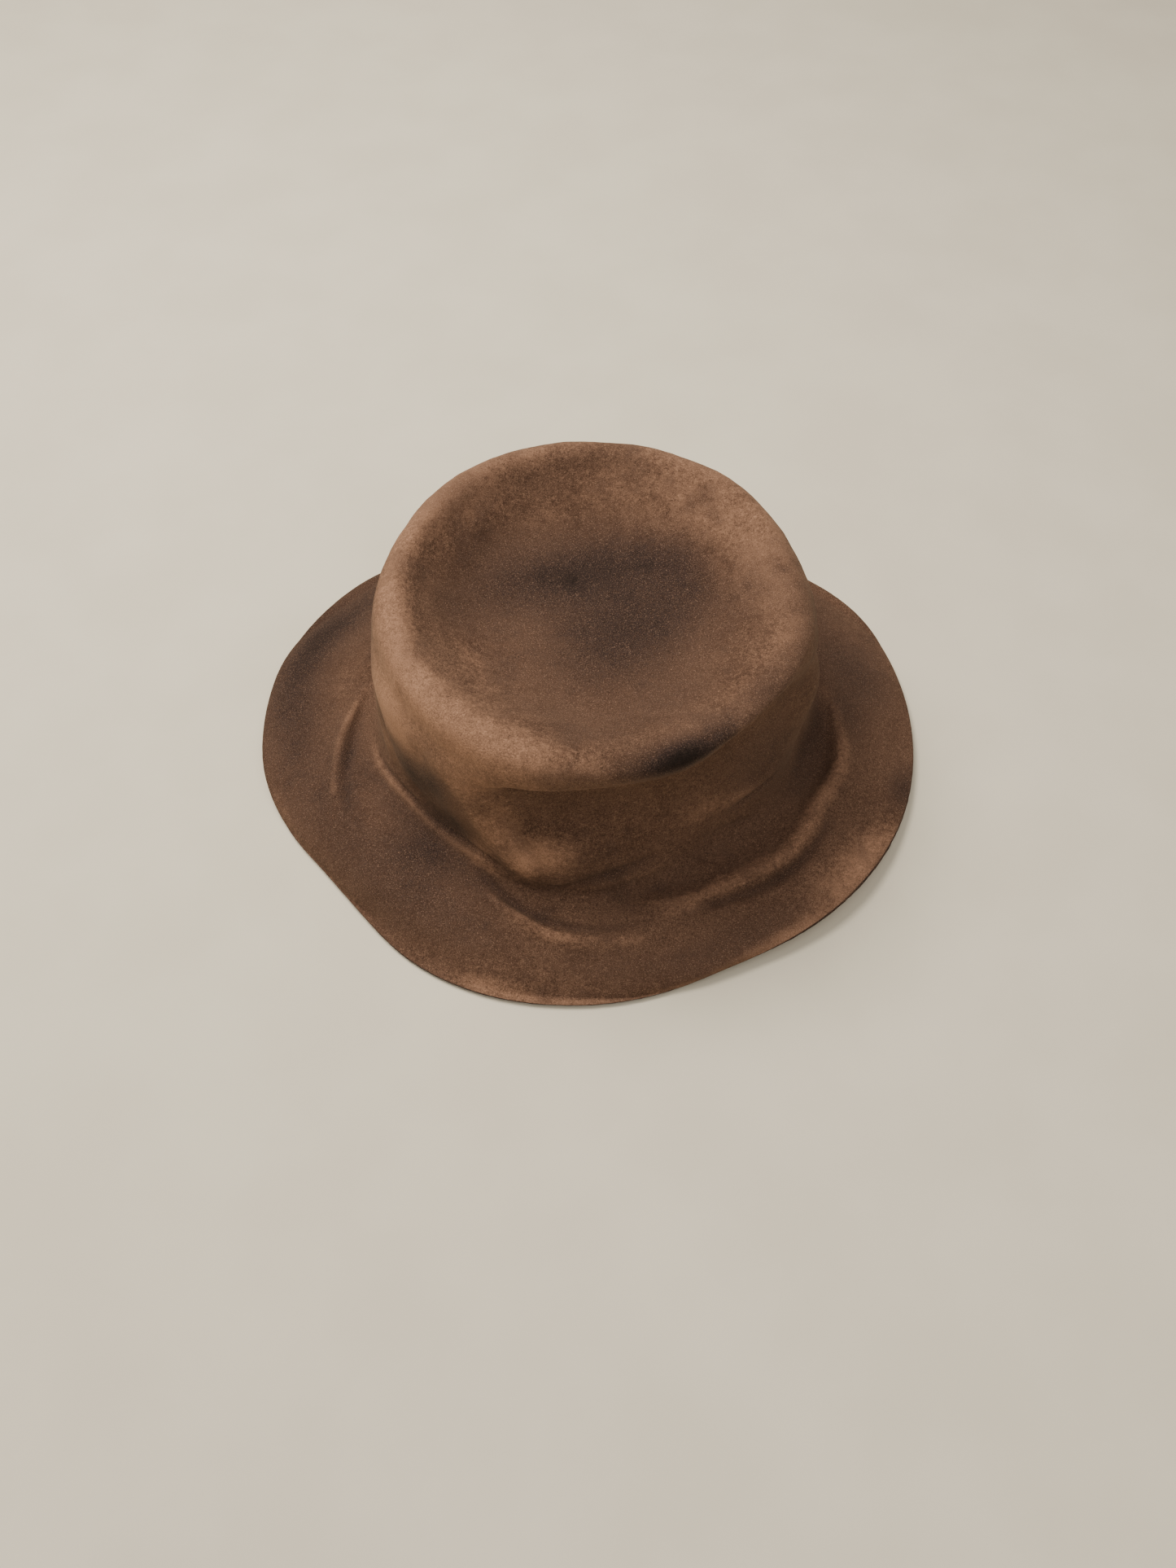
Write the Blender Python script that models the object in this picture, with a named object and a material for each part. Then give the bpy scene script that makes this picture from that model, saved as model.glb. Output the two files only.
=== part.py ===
"""Soft wool-felt hat: a collapsed crown with a dished top, and a full brim that rests on the floor.

Crown and brim are one piece of felt. Its outer face is a stack of oval rings, from the middle of the
tip to the cut edge of the brim, pushed in and out by dents set one by one. The sweatband, its reed,
its tape and its threads follow the inside of that same face, at their own depth below it.

Blender units are metres. +Z is up and +X is the wearer's front. The origin is on the floor, under the
middle of the hat. The tables below are in millimetres and degrees; a bearing is 0 at +X and 90 at +Y.
"""
import math

import bmesh
import bpy
import numpy as np

MM = 0.001
FELT = 2.1                 # thickness of the felt
CLEAR = 0.3                # gap between pieces that lie on each other

BEARINGS = 80              # facets around the hat
BACK = 180.0               # bearing of the sweatband's seam, at the wearer's back

BAND_LEATHER = 0.9         # thickness of the sweatband
BAND_DEPTH = FELT + 1.0    # from the felt's outer face to the sweatband's outer face
BAND_STATIONS = (8.0, 8.5, 9.0, 9.5, 9.75, 10.0, 10.3, 10.6)
SEAM_GAP = 0.25            # half the gap between the sweatband's butted ends, in degrees

REED_RADIUS = 0.8
REED_STATION = 10.95       # where the reed runs, just under the sweatband's lower edge
REED_DEPTH = FELT + 1.85
REED_BUTT = 0.5            # half the gap between the reed's ends, in degrees
TAPE = 0.35                # thickness of the reed tape
TAPE_STATIONS = (9.75, 10.0, 10.3, 10.55)

BACKING_STATIONS = (8.15, 8.7, 9.25, 9.6)
BACKING_SPREAD = 3.6       # half the width of the seam's backing strip, in degrees
BACKING = 0.3

THREAD = 0.45              # thickness of the sewing thread
STITCH_DEPTH = BAND_DEPTH + BAND_LEATHER + CLEAR + THREAD / 2
TAPE_STITCH_STATION = 10.3
SEAM_STITCHES = (8.4, 9.4, 0.08)
FELLING_EVERY = 11.0       # pitch of the stitches that hold the tape to the felt
FELLING_RING = 11
FELLING_START = 0.9        # degrees past the back seam
FELLING_SWEEP = 358.2
FELLING_STATIONS = (11.3, 11.6)

BOW_STATION = 9.75
BOW_STANDOFF = 2.0         # from the sweatband's inner face to the bow's middle plane
# Loops and knot of the bow: place along the bow, half height, half thickness
BOW_OUTLINE = ((-8.5, 2.6, 0.24), (-6.0, 3.4, 0.48), (-2.0, 1.3, 0.42), (-1.5, 1.6, 0.72),
               (1.5, 1.6, 0.72), (2.0, 1.3, 0.42), (6.0, 3.4, 0.48), (8.5, 2.6, 0.24))

LABEL_STATION = 8.2        # where the care label's folded top edge is sewn to the sweatband
LABEL_STANDOFF = 2.5
LABEL_WIDTH = 20.0
LABEL_DROP = 20.0
LABEL_CLOTH = 0.5
# Fold and hem of the label: height below the sewn edge, fullness of the cloth there
LABEL_PROFILE = ((0.0, 0.6), (0.8, 1.2), (4.0, 1.0), (LABEL_DROP - 2.0, 1.0), (LABEL_DROP, 0.8))
LABEL_STITCHES = 10
LABEL_STITCH_SPREAD = 0.45        # of the label's width, to each side
LABEL_STITCH_BACK = 1.1           # behind the label, toward the sweatband
LABEL_STITCH_HEIGHTS = (0.5, 1.8)

# Rings of the felt's outer face, each an oval:
# name, centre x, centre y, half length along X, half width along Y, height, rise to +X, rise to +Y
RINGS = (
    ("tip_centre", 2.0, 8.0, 0.0, 0.0, 88.0, 0.00, 0.02),
    ("tip_floor", 2.0, 8.0, 30.0, 28.0, 88.4, 0.00, 0.02),
    ("dish_slope", 2.0, 7.5, 53.0, 50.0, 92.0, -0.01, 0.03),
    ("dish_edge", 2.5, 5.5, 70.5, 67.5, 102.0, -0.03, 0.04),
    ("rim_crest", 3.0, 5.0, 82.0, 79.0, 108.0, -0.05, 0.05),
    ("rim_outer", 2.5, 5.0, 90.0, 87.0, 103.5, -0.05, 0.05),
    ("rim_low", 2.5, 5.0, 94.5, 89.5, 91.5, -0.04, 0.04),
    ("wall_high", 2.0, 4.0, 95.5, 88.0, 79.0, -0.03, 0.03),
    ("wall_mid", 3.0, 2.0, 97.0, 85.5, 60.0, -0.01, 0.01),
    ("wall_low", 3.5, 1.0, 99.5, 85.5, 41.0, 0.00, 0.00),
    ("wall_foot", 4.0, 0.0, 102.0, 87.0, 29.0, 0.00, 0.00),
    ("break", 4.0, 0.0, 106.0, 91.0, 21.0, 0.00, 0.00),
    ("valley", 3.0, 0.0, 111.0, 97.0, 18.0, 0.00, 0.00),
    ("ridge", 1.0, 0.0, 118.0, 105.0, 17.5, 0.00, 0.00),
    ("brim_mid", 0.0, 0.0, 133.0, 119.0, 13.0, 0.00, 0.00),
    ("brim_out", -1.0, 0.0, 149.0, 131.0, 8.0, 0.00, 0.00),
    ("edge", -1.0, 0.0, 155.5, 137.0, 5.5, 0.00, 0.00),
)
RING_NAMES = [ring[0] for ring in RINGS]

# Dents and bulges: first ring, last ring, bearing, spread, push outward, push up
PUSHES = (
    # the wall is folded in under the near side of the rim, from a sharp corner at the left
    ("rim_low", "rim_low", 284, 20, -4.0, 4.0),
    ("rim_low", "rim_low", 322, 17, -8.0, 6.0),
    ("rim_outer", "rim_outer", 318, 22, -2.5, 2.0),
    ("rim_low", "rim_low", 235, 14, 0.5, -3.0),
    ("rim_low", "wall_high", 218, 12, -1.2, 0.0),
    ("wall_high", "wall_high", 266, 15, -13.5, 3.0),
    ("wall_high", "wall_high", 312, 25, -15.0, 6.0),
    ("wall_mid", "wall_mid", 271, 17, -11.0, 0.0),
    ("wall_mid", "wall_mid", 309, 24, -13.5, 0.0),
    ("wall_low", "wall_low", 278, 14, -3.5, 0.0),
    ("wall_low", "wall_low", 309, 22, -11.5, 0.0),
    ("wall_foot", "valley", 306, 22, -11.0, 0.0),
    ("wall_foot", "valley", 218, 14, -6.0, 0.0),
    # the wall leans in toward its foot at the right
    ("wall_high", "wall_mid", 352, 9, 4.0, 0.0),
    ("wall_low", "wall_low", 350, 11, -2.5, 0.0),
    ("wall_foot", "break", 347, 12, -7.0, 0.0),
    ("valley", "valley", 345, 14, -2.0, -2.0),
    # and stands fuller at the left, flush with the rim
    ("wall_high", "wall_mid", 208, 14, 2.5, 0.0),
    # upright corner at the near left of the crown, with a dent beside it
    ("wall_high", "wall_mid", 237, 9, 3.0, -2.0),
    ("wall_mid", "wall_low", 219, 10, -1.5, 0.0),
    # bulge at the foot of the wall
    ("wall_low", "wall_foot", 258, 10, 6.0, 0.0),
    ("break", "valley", 260, 14, 2.0, 0.0),
    # the rim is a little fuller on the right, flatter at the far left
    ("rim_outer", "rim_low", 348, 12, 2.0, 0.0),
    ("rim_crest", "wall_high", 50, 16, 2.5, 0.0),
    ("rim_crest", "wall_high", 150, 16, -1.5, 0.0),
    # waves of the brim: it comes down to the floor in four places
    ("brim_out", "brim_out", 221, 17, -6.0, -5.2),
    ("edge", "edge", 218, 15, -11.5, -8.5),
    ("brim_out", "brim_out", 268, 14, 1.0, -5.2),
    ("edge", "edge", 268, 14, -1.0, -8.5),
    ("brim_out", "brim_out", 42, 15, 6.0, -4.5),
    ("edge", "edge", 42, 15, 8.0, -7.0),
    ("brim_out", "brim_out", 138, 15, 7.0, -4.5),
    ("edge", "edge", 138, 15, 9.0, -7.0),
    ("brim_out", "brim_out", 320, 18, -3.0, 2.0),
    ("edge", "edge", 294, 13, -5.5, 0.0),
    ("edge", "edge", 322, 16, -2.5, 5.0),
    ("brim_out", "edge", 182, 14, 0.5, 3.0),
    ("brim_out", "edge", 160, 9, 3.5, 0.0),
    ("brim_out", "edge", 14, 13, 2.5, 0.0),
    ("brim_out", "edge", 30, 10, 3.5, 0.0),
    ("brim_out", "edge", 88, 18, 1.6, 2.0),
)

# Rows of the felt's mesh: how many steps each space between two rings takes
FELT_STEPS = (1, 1, 2, 2, 2, 1, 2, 2, 2, 2, 2, 1, 1, 1, 1, 2)


# ---------------------------------------------------------------- the felt's outer face

def fall_off(bearings, middle, spread):
    """1 at the middle bearing, fading to 0 on both sides of it."""
    turn = (bearings - middle + 180.0) % 360.0 - 180.0
    return np.exp(-0.5 * (turn / spread) ** 2)


def ring_knots(bearings):
    """Points of every ring, pushed by its dents: rings x bearings x 3, in millimetres."""
    cos = np.cos(np.radians(bearings))
    sin = np.sin(np.radians(bearings))
    knots = np.zeros((len(RINGS), len(bearings), 3))
    for knot, (_, mid_x, mid_y, half_x, half_y, height, rise_x, rise_y) in zip(knots, RINGS):
        knot[:, 0] = mid_x + half_x * cos
        knot[:, 1] = mid_y + half_y * sin
        knot[:, 2] = height + rise_x * knot[:, 0] + rise_y * knot[:, 1]
    for first, last, middle, spread, outward, up in PUSHES:
        weight = fall_off(bearings, middle, spread)
        for knot in knots[RING_NAMES.index(first):RING_NAMES.index(last) + 1]:
            knot += weight[:, None] * np.stack([outward * cos, outward * sin, up + 0 * cos], axis=-1)
    return knots


def outer_face(bearings, station):
    """Points of the outer face at one station, on a Catmull-Rom curve through the rings."""
    knots = ring_knots(bearings)
    knots = np.concatenate([[2 * knots[0] - knots[1]], knots, [2 * knots[-1] - knots[-2]]])
    start = min(int(station), len(RINGS) - 2)
    p0, p1, p2, p3 = knots[start:start + 4]

    def root_distance(a, b):
        return np.sqrt(np.linalg.norm(b - a, axis=-1, keepdims=True))

    t1 = root_distance(p0, p1)
    t2 = t1 + root_distance(p1, p2)
    t3 = t2 + root_distance(p2, p3)
    t = t1 + (t2 - t1) * (station - start)
    a1 = ((t1 - t) * p0 + t * p1) / t1
    a2 = ((t2 - t) * p1 + (t - t1) * p2) / (t2 - t1)
    a3 = ((t3 - t) * p2 + (t - t2) * p3) / (t3 - t2)
    b1 = ((t2 - t) * a1 + t * a2) / t2
    b2 = ((t3 - t) * a2 + (t - t1) * a3) / (t3 - t1)
    return ((t2 - t) * b1 + (t - t1) * b2) / (t2 - t1)


def unit(vectors):
    return vectors / np.linalg.norm(vectors, axis=-1, keepdims=True)


def along_wall(bearings, station, step=0.02):
    """Unit direction up the profile, from the brim towards the tip."""
    low = outer_face(bearings, min(station + step, len(RINGS) - 1))
    high = outer_face(bearings, max(station - step, 0.02))
    return unit(high - low)


def inward(bearings, station, step=0.1):
    """Unit normal of the outer face, pointing into the felt."""
    around = outer_face(bearings + step, station) - outer_face(bearings - step, station)
    return unit(np.cross(along_wall(bearings, station), around))


def below_face(bearings, station, depth):
    """Points at a depth under the felt's outer face."""
    return outer_face(bearings, station) + depth * inward(bearings, station)


# ---------------------------------------------------------------- mesh helpers

def material(name, colour, roughness, metallic=0.0):
    made = bpy.data.materials.new(name)
    made.use_nodes = True
    shader = made.node_tree.nodes["Principled BSDF"]
    shader.inputs["Base Color"].default_value = (*colour, 1.0)
    shader.inputs["Roughness"].default_value = roughness
    shader.inputs["Metallic"].default_value = metallic
    return made


def add_object(name, mesh_builder, surface, parent):
    mesh_builder.normal_update()
    bmesh.ops.recalc_face_normals(mesh_builder, faces=mesh_builder.faces)
    mesh = bpy.data.meshes.new(name)
    mesh_builder.to_mesh(mesh)
    mesh_builder.free()
    mesh.materials.append(surface)
    mesh.shade_smooth()
    mesh.set_sharp_from_angle(angle=math.radians(50))
    made = bpy.data.objects.new(name, mesh)
    bpy.context.scene.collection.objects.link(made)
    made.parent = parent
    return made


def loft(builder, sections, closed):
    """Skin a row of cross-sections, each a closed outline; an open row gets a cap at each end."""
    loops = [[builder.verts.new(tuple(point * MM)) for point in section] for section in sections]
    count = len(loops)
    for index in range(count if closed else count - 1):
        here, there = loops[index], loops[(index + 1) % count]
        for corner in range(len(here)):
            after = (corner + 1) % len(here)
            builder.faces.new((here[corner], here[after], there[after], there[corner]))
    if not closed:
        builder.faces.new(loops[0])
        builder.faces.new(loops[-1])


def strip_bearings(gap):
    """The felt's own bearings, all round from just past the back seam to just short of it."""
    step = 360.0 / BEARINGS
    middle = BACK + step * np.arange(1, BEARINGS)
    return np.concatenate([[BACK + gap], middle, [BACK + 360.0 - gap]])


def between_depths(bearings, stations, outer_depth, inner_depth):
    """Cross-sections of a strip that lies inside the felt between two depths."""
    outer = [below_face(bearings, station, outer_depth) for station in stations]
    inner = [below_face(bearings, station, inner_depth) for station in reversed(stations)]
    return np.stack(outer + inner, axis=1)


def run_thread(builder, points, sides):
    """One length of thread along a path; sides are directions across it, along the surface."""
    ahead = np.concatenate([points[1:], points[-1:]])
    behind = np.concatenate([points[:1], points[:-1]])
    along = unit(ahead - behind)
    across = unit(sides - along * np.sum(sides * along, axis=-1, keepdims=True)) * THREAD / 2
    out = np.cross(along, across)
    sections = [points + across, points + out, points - across, points - out]
    loft(builder, np.stack(sections, axis=1), False)


# ---------------------------------------------------------------- the pieces

def make_felt(parent):
    """Crown and brim, one piece. The brim lies flat on the floor where it comes down to it."""
    bearings = np.arange(BEARINGS) * 360.0 / BEARINGS
    stations = [start + step / steps for start, steps in enumerate(FELT_STEPS) for step in range(steps)]
    stations = stations[1:] + [len(RINGS) - 1]
    builder = bmesh.new()
    sides = []
    for depth in (0.0, FELT):
        floor = FELT - depth
        rows = []
        for station in stations:
            points = below_face(bearings, station, depth)
            points[:, 2] = np.maximum(points[:, 2], floor)
            rows.append([builder.verts.new(tuple(point * MM)) for point in points])
        tip = outer_face(bearings[:1], 0)[0] - (0.0, 0.0, depth)
        centre = builder.verts.new(tuple(tip * MM))
        for index in range(BEARINGS):
            builder.faces.new((centre, rows[0][index], rows[0][(index + 1) % BEARINGS]))
        for upper, lower in zip(rows, rows[1:]):
            bridge(builder, upper, lower)
        sides.append(rows)
    bridge(builder, sides[0][-1], sides[1][-1])
    felt = material("wool_felt", (0.17, 0.09, 0.06), 0.95)
    add_object("felt_body", builder, felt, parent)


def bridge(builder, upper, lower):
    for index in range(len(upper)):
        after = (index + 1) % len(upper)
        builder.faces.new((upper[index], lower[index], lower[after], upper[after]))


def make_sweatband(parent, leather):
    sections = between_depths(
        strip_bearings(SEAM_GAP), BAND_STATIONS, BAND_DEPTH, BAND_DEPTH + BAND_LEATHER)
    builder = bmesh.new()
    loft(builder, sections, False)
    add_object("sweatband", builder, leather, parent)


def reed_frame(bearings):
    """Middle of the reed, with the directions up the wall and into the hat."""
    middle = below_face(bearings, REED_STATION, REED_DEPTH)
    return middle, along_wall(bearings, REED_STATION), inward(bearings, REED_STATION)


def make_reed(parent):
    """Springy cord that keeps the sweatband's lower edge round; its ends meet at the back."""
    middle, up, inside = reed_frame(strip_bearings(REED_BUTT))
    turns = np.radians(np.arange(0, 360, 60))
    sections = np.stack(
        [middle + REED_RADIUS * (math.cos(t) * inside + math.sin(t) * up) for t in turns], axis=1)
    builder = bmesh.new()
    loft(builder, sections, False)
    add_object("sweatband_reed", builder, material("reed_plastic", (0.62, 0.58, 0.50), 0.4), parent)


def make_reed_tape(parent, cloth):
    """Tape folded round the reed, with a tail that runs up between the sweatband and the felt."""
    bearings = strip_bearings(SEAM_GAP)
    middle, up, inside = reed_frame(bearings)
    wrap_inner = REED_RADIUS + CLEAR
    wrap_outer = wrap_inner + TAPE
    felt_side = FELT + CLEAR
    turns = np.radians((180, 240, 300, 360, 420))
    outline = [below_face(bearings, station, felt_side) for station in TAPE_STATIONS]
    outline += [middle + wrap_outer * (math.cos(t) * inside + math.sin(t) * up) for t in turns]
    outline += [middle + wrap_inner * (math.cos(t) * inside + math.sin(t) * up) for t in turns[::-1]]
    outline += [below_face(bearings, station, felt_side + TAPE) for station in reversed(TAPE_STATIONS)]
    builder = bmesh.new()
    loft(builder, np.stack(outline, axis=1), False)
    add_object("reed_tape", builder, cloth, parent)


def make_seam_backing(parent, cloth):
    """Strip behind the sweatband's back seam."""
    bearings = BACK + np.array((-BACKING_SPREAD, 0.0, BACKING_SPREAD))
    depth = FELT + CLEAR
    builder = bmesh.new()
    loft(builder, between_depths(bearings, BACKING_STATIONS, depth, depth + BACKING), False)
    add_object("seam_backing", builder, cloth, parent)


def make_tape_stitching(parent, thread):
    """Line of thread along the sweatband's lower edge, which holds it to the reed tape."""
    bearings = strip_bearings(REED_BUTT)
    points = below_face(bearings, TAPE_STITCH_STATION, STITCH_DEPTH)
    builder = bmesh.new()
    run_thread(builder, points, along_wall(bearings, TAPE_STITCH_STATION))
    add_object("tape_stitching", builder, thread, parent)


def make_felling_thread(parent, thread):
    """Zigzag of thread from the folded tape to the felt, under the reed."""
    girth = math.pi * (RINGS[FELLING_RING][3] + RINGS[FELLING_RING][4])
    count = int(girth / FELLING_EVERY)
    bearings = BACK + FELLING_START + np.linspace(0.0, FELLING_SWEEP, 2 * count)
    depth = FELT + CLEAR + THREAD / 2
    upper = below_face(bearings, FELLING_STATIONS[0], depth)
    lower = below_face(bearings, FELLING_STATIONS[1], depth)
    points = np.where((np.arange(len(bearings)) % 2 == 0)[:, None], upper, lower)
    builder = bmesh.new()
    run_thread(builder, points, inward(bearings, FELLING_STATIONS[0]))
    add_object("felling_thread", builder, thread, parent)


def make_seam_thread(parent, thread):
    """Zigzag of thread that closes the sweatband's back seam."""
    stations = np.arange(*SEAM_STITCHES)
    sides = np.where(np.arange(len(stations)) % 2 == 0, -1.0, 1.0)
    points = [below_face(np.array((BACK + side,)), station, STITCH_DEPTH)[0]
              for station, side in zip(stations, sides)]
    builder = bmesh.new()
    run_thread(builder, np.array(points), np.tile(inward(np.array((BACK,)), 9.0), (len(points), 1)))
    add_object("seam_thread", builder, thread, parent)


def make_bow(parent, ribbon):
    """Flat ribbon bow over the foot of the back seam."""
    back = np.array((BACK,))
    depth = BAND_DEPTH + BAND_LEATHER + BOW_STANDOFF
    middle = below_face(back, BOW_STATION, depth)[0]
    up = along_wall(back, BOW_STATION)[0]
    out = inward(back, BOW_STATION)[0]
    across = unit(np.cross(up, out))
    sections = []
    for place, high, thick in BOW_OUTLINE:
        centre = middle + across * place
        corners = ((high, thick), (-high, thick), (-high, -thick), (high, -thick))
        sections.append([centre + up * rise + out * depth_in for rise, depth_in in corners])
    builder = bmesh.new()
    loft(builder, sections, False)
    add_object("sweatband_bow", builder, ribbon, parent)


def label_axis():
    """Middle of the care label's sewn top edge."""
    depth = BAND_DEPTH + BAND_LEATHER + LABEL_STANDOFF
    return below_face(np.array((BACK,)), LABEL_STATION, depth)[0]


def make_care_label(parent, cloth):
    """Folded cloth label that hangs from its sewn top edge and swings on it."""
    hinge = bpy.data.objects.new("label_hinge", None)
    bpy.context.scene.collection.objects.link(hinge)
    hinge.parent = parent
    hinge.location = label_axis() * MM
    half_width, half_cloth = LABEL_WIDTH / 2, LABEL_CLOTH / 2
    sections = []
    for drop, fullness in LABEL_PROFILE:
        thick = half_cloth * fullness
        corners = ((thick, half_width), (-thick, half_width), (-thick, -half_width), (thick, -half_width))
        sections.append([np.array((x, y, -drop)) for x, y in corners])
    builder = bmesh.new()
    loft(builder, sections, False)
    add_object("care_label", builder, cloth, hinge)


def make_label_stitches(parent, thread):
    """Row of thread between the sweatband and the label's folded top edge."""
    places = np.linspace(-LABEL_STITCH_SPREAD, LABEL_STITCH_SPREAD, LABEL_STITCHES) * LABEL_WIDTH
    heights = np.where(np.arange(len(places)) % 2 == 0, *LABEL_STITCH_HEIGHTS)
    back = np.full(len(places), -LABEL_STITCH_BACK)
    points = label_axis() + np.stack([back, places, heights], axis=1)
    builder = bmesh.new()
    run_thread(builder, points, np.tile((1.0, 0.0, 0.0), (len(points), 1)))
    add_object("label_stitches", builder, thread, parent)


def main():
    for old in list(bpy.data.objects):
        bpy.data.objects.remove(old)
    hat = bpy.data.objects.new("hat", None)
    bpy.context.scene.collection.objects.link(hat)
    leather = material("sweatband_leather", (0.20, 0.11, 0.06), 0.55)
    tape_cloth = material("reed_tape_cloth", (0.09, 0.07, 0.05), 0.8)
    ribbon = material("bow_ribbon", (0.05, 0.035, 0.03), 0.6)
    label_cloth = material("label_cloth", (0.70, 0.66, 0.57), 0.8)
    thread = material("thread", (0.33, 0.24, 0.16), 0.7)
    make_felt(hat)
    make_sweatband(hat, leather)
    make_reed(hat)
    make_reed_tape(hat, tape_cloth)
    make_seam_backing(hat, tape_cloth)
    make_tape_stitching(hat, thread)
    make_felling_thread(hat, thread)
    make_seam_thread(hat, thread)
    make_bow(hat, ribbon)
    make_care_label(hat, label_cloth)
    make_label_stitches(hat, thread)


main()
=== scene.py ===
"""Looks of the soft wool-felt hat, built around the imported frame.

The felt's outer face is the CAD's own stack of oval rings with its dents, at a fine mesh, with the
folds, welts and rubbed places of the real felt added along lines drawn on that face. A place on the
face is a bearing (0 at +X, 90 at +Y) and a station: 0 in the middle of the tip, 16 at the brim's edge.
Tables are in millimetres and degrees, and meshes are made in metres.
"""
import math

import bmesh
import bpy
import numpy as np
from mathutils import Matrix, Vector, noise


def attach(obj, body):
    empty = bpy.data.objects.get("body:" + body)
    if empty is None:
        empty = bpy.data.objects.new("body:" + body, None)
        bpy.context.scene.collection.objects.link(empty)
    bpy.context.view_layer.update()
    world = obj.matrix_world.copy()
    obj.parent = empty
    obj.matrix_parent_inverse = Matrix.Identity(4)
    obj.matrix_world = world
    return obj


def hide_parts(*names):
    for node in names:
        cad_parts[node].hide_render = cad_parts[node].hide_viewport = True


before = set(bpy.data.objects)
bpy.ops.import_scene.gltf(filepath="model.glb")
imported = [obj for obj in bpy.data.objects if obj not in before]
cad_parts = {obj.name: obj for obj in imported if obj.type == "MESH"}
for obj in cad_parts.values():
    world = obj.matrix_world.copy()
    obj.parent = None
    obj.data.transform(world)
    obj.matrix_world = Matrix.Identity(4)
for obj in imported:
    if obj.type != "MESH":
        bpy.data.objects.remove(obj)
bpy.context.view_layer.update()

MM = 0.001
BACK = 180.0
# thicknesses, the clearance between layers, and depths under the felt's outer face
FELT = 2.1
CLEAR = 0.3
BAND_LEATHER = 0.9
BAND_DEPTH = FELT + 1.0
BAND_FACE = BAND_DEPTH + BAND_LEATHER
TAPE = 0.35
REED_RADIUS = 0.8
REED_DEPTH = FELT + 1.85
# stations of what is sewn inside
BAND_TOP = 8.0
LABEL_STATION = 8.2
BOW_STATION = 9.75
STITCH_STATION = 10.3
BAND_FOOT = 10.6
REED_STATION = 10.95
TAIL_STATIONS = (9.75, 10.5)
# half gaps at the back seam, in degrees
SEAM_GAP = 0.25
REED_BUTT = 0.5
# deepest crease, and how much the welts are rubbed pale and the creases are darkened as painted shade; the
# cut edge's roundness
CREASE_LIMIT = -2.6
CREASE_LIMIT_OVER_BAND = -1.3
FOLD_WEAR_AND_SHADE = 0.16
EDGE_BULGE = 0.75

# Rings of the felt's outer face, each an oval:
# name, centre x, centre y, half length along X, half width along Y, height, rise to +X, rise to +Y
RINGS = (
    ("tip_centre", 2, 8, 0, 0, 88, 0, 0.02),
    ("tip_floor", 2, 8, 30, 28, 88.4, 0, 0.02),
    ("dish_slope", 2, 7.5, 53, 50, 92, -0.01, 0.03),
    ("dish_edge", 2.5, 5.5, 70.5, 67.5, 102, -0.03, 0.04),
    ("rim_crest", 3, 5, 82, 79, 108, -0.05, 0.05),
    ("rim_outer", 2.5, 5, 90, 87, 103.5, -0.05, 0.05),
    ("rim_low", 2.5, 5, 94.5, 89.5, 91.5, -0.04, 0.04),
    ("wall_high", 2, 4, 95.5, 88, 79, -0.03, 0.03),
    ("wall_mid", 3, 2, 97, 85.5, 60, -0.01, 0.01),
    ("wall_low", 3.5, 1, 99.5, 85.5, 41, 0, 0),
    ("wall_foot", 4, 0, 102, 87, 29, 0, 0),
    ("break", 4, 0, 106, 91, 21, 0, 0),
    ("valley", 3, 0, 111, 97, 18, 0, 0),
    ("ridge", 1, 0, 118, 105, 17.5, 0, 0),
    ("brim_mid", 0, 0, 133, 119, 13, 0, 0),
    ("brim_out", -1, 0, 149, 131, 8, 0, 0),
    ("edge", -1, 0, 155.5, 137, 5.5, 0, 0),
)
RING_NAMES = [ring[0] for ring in RINGS]
EDGE = len(RINGS) - 1.0

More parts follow.
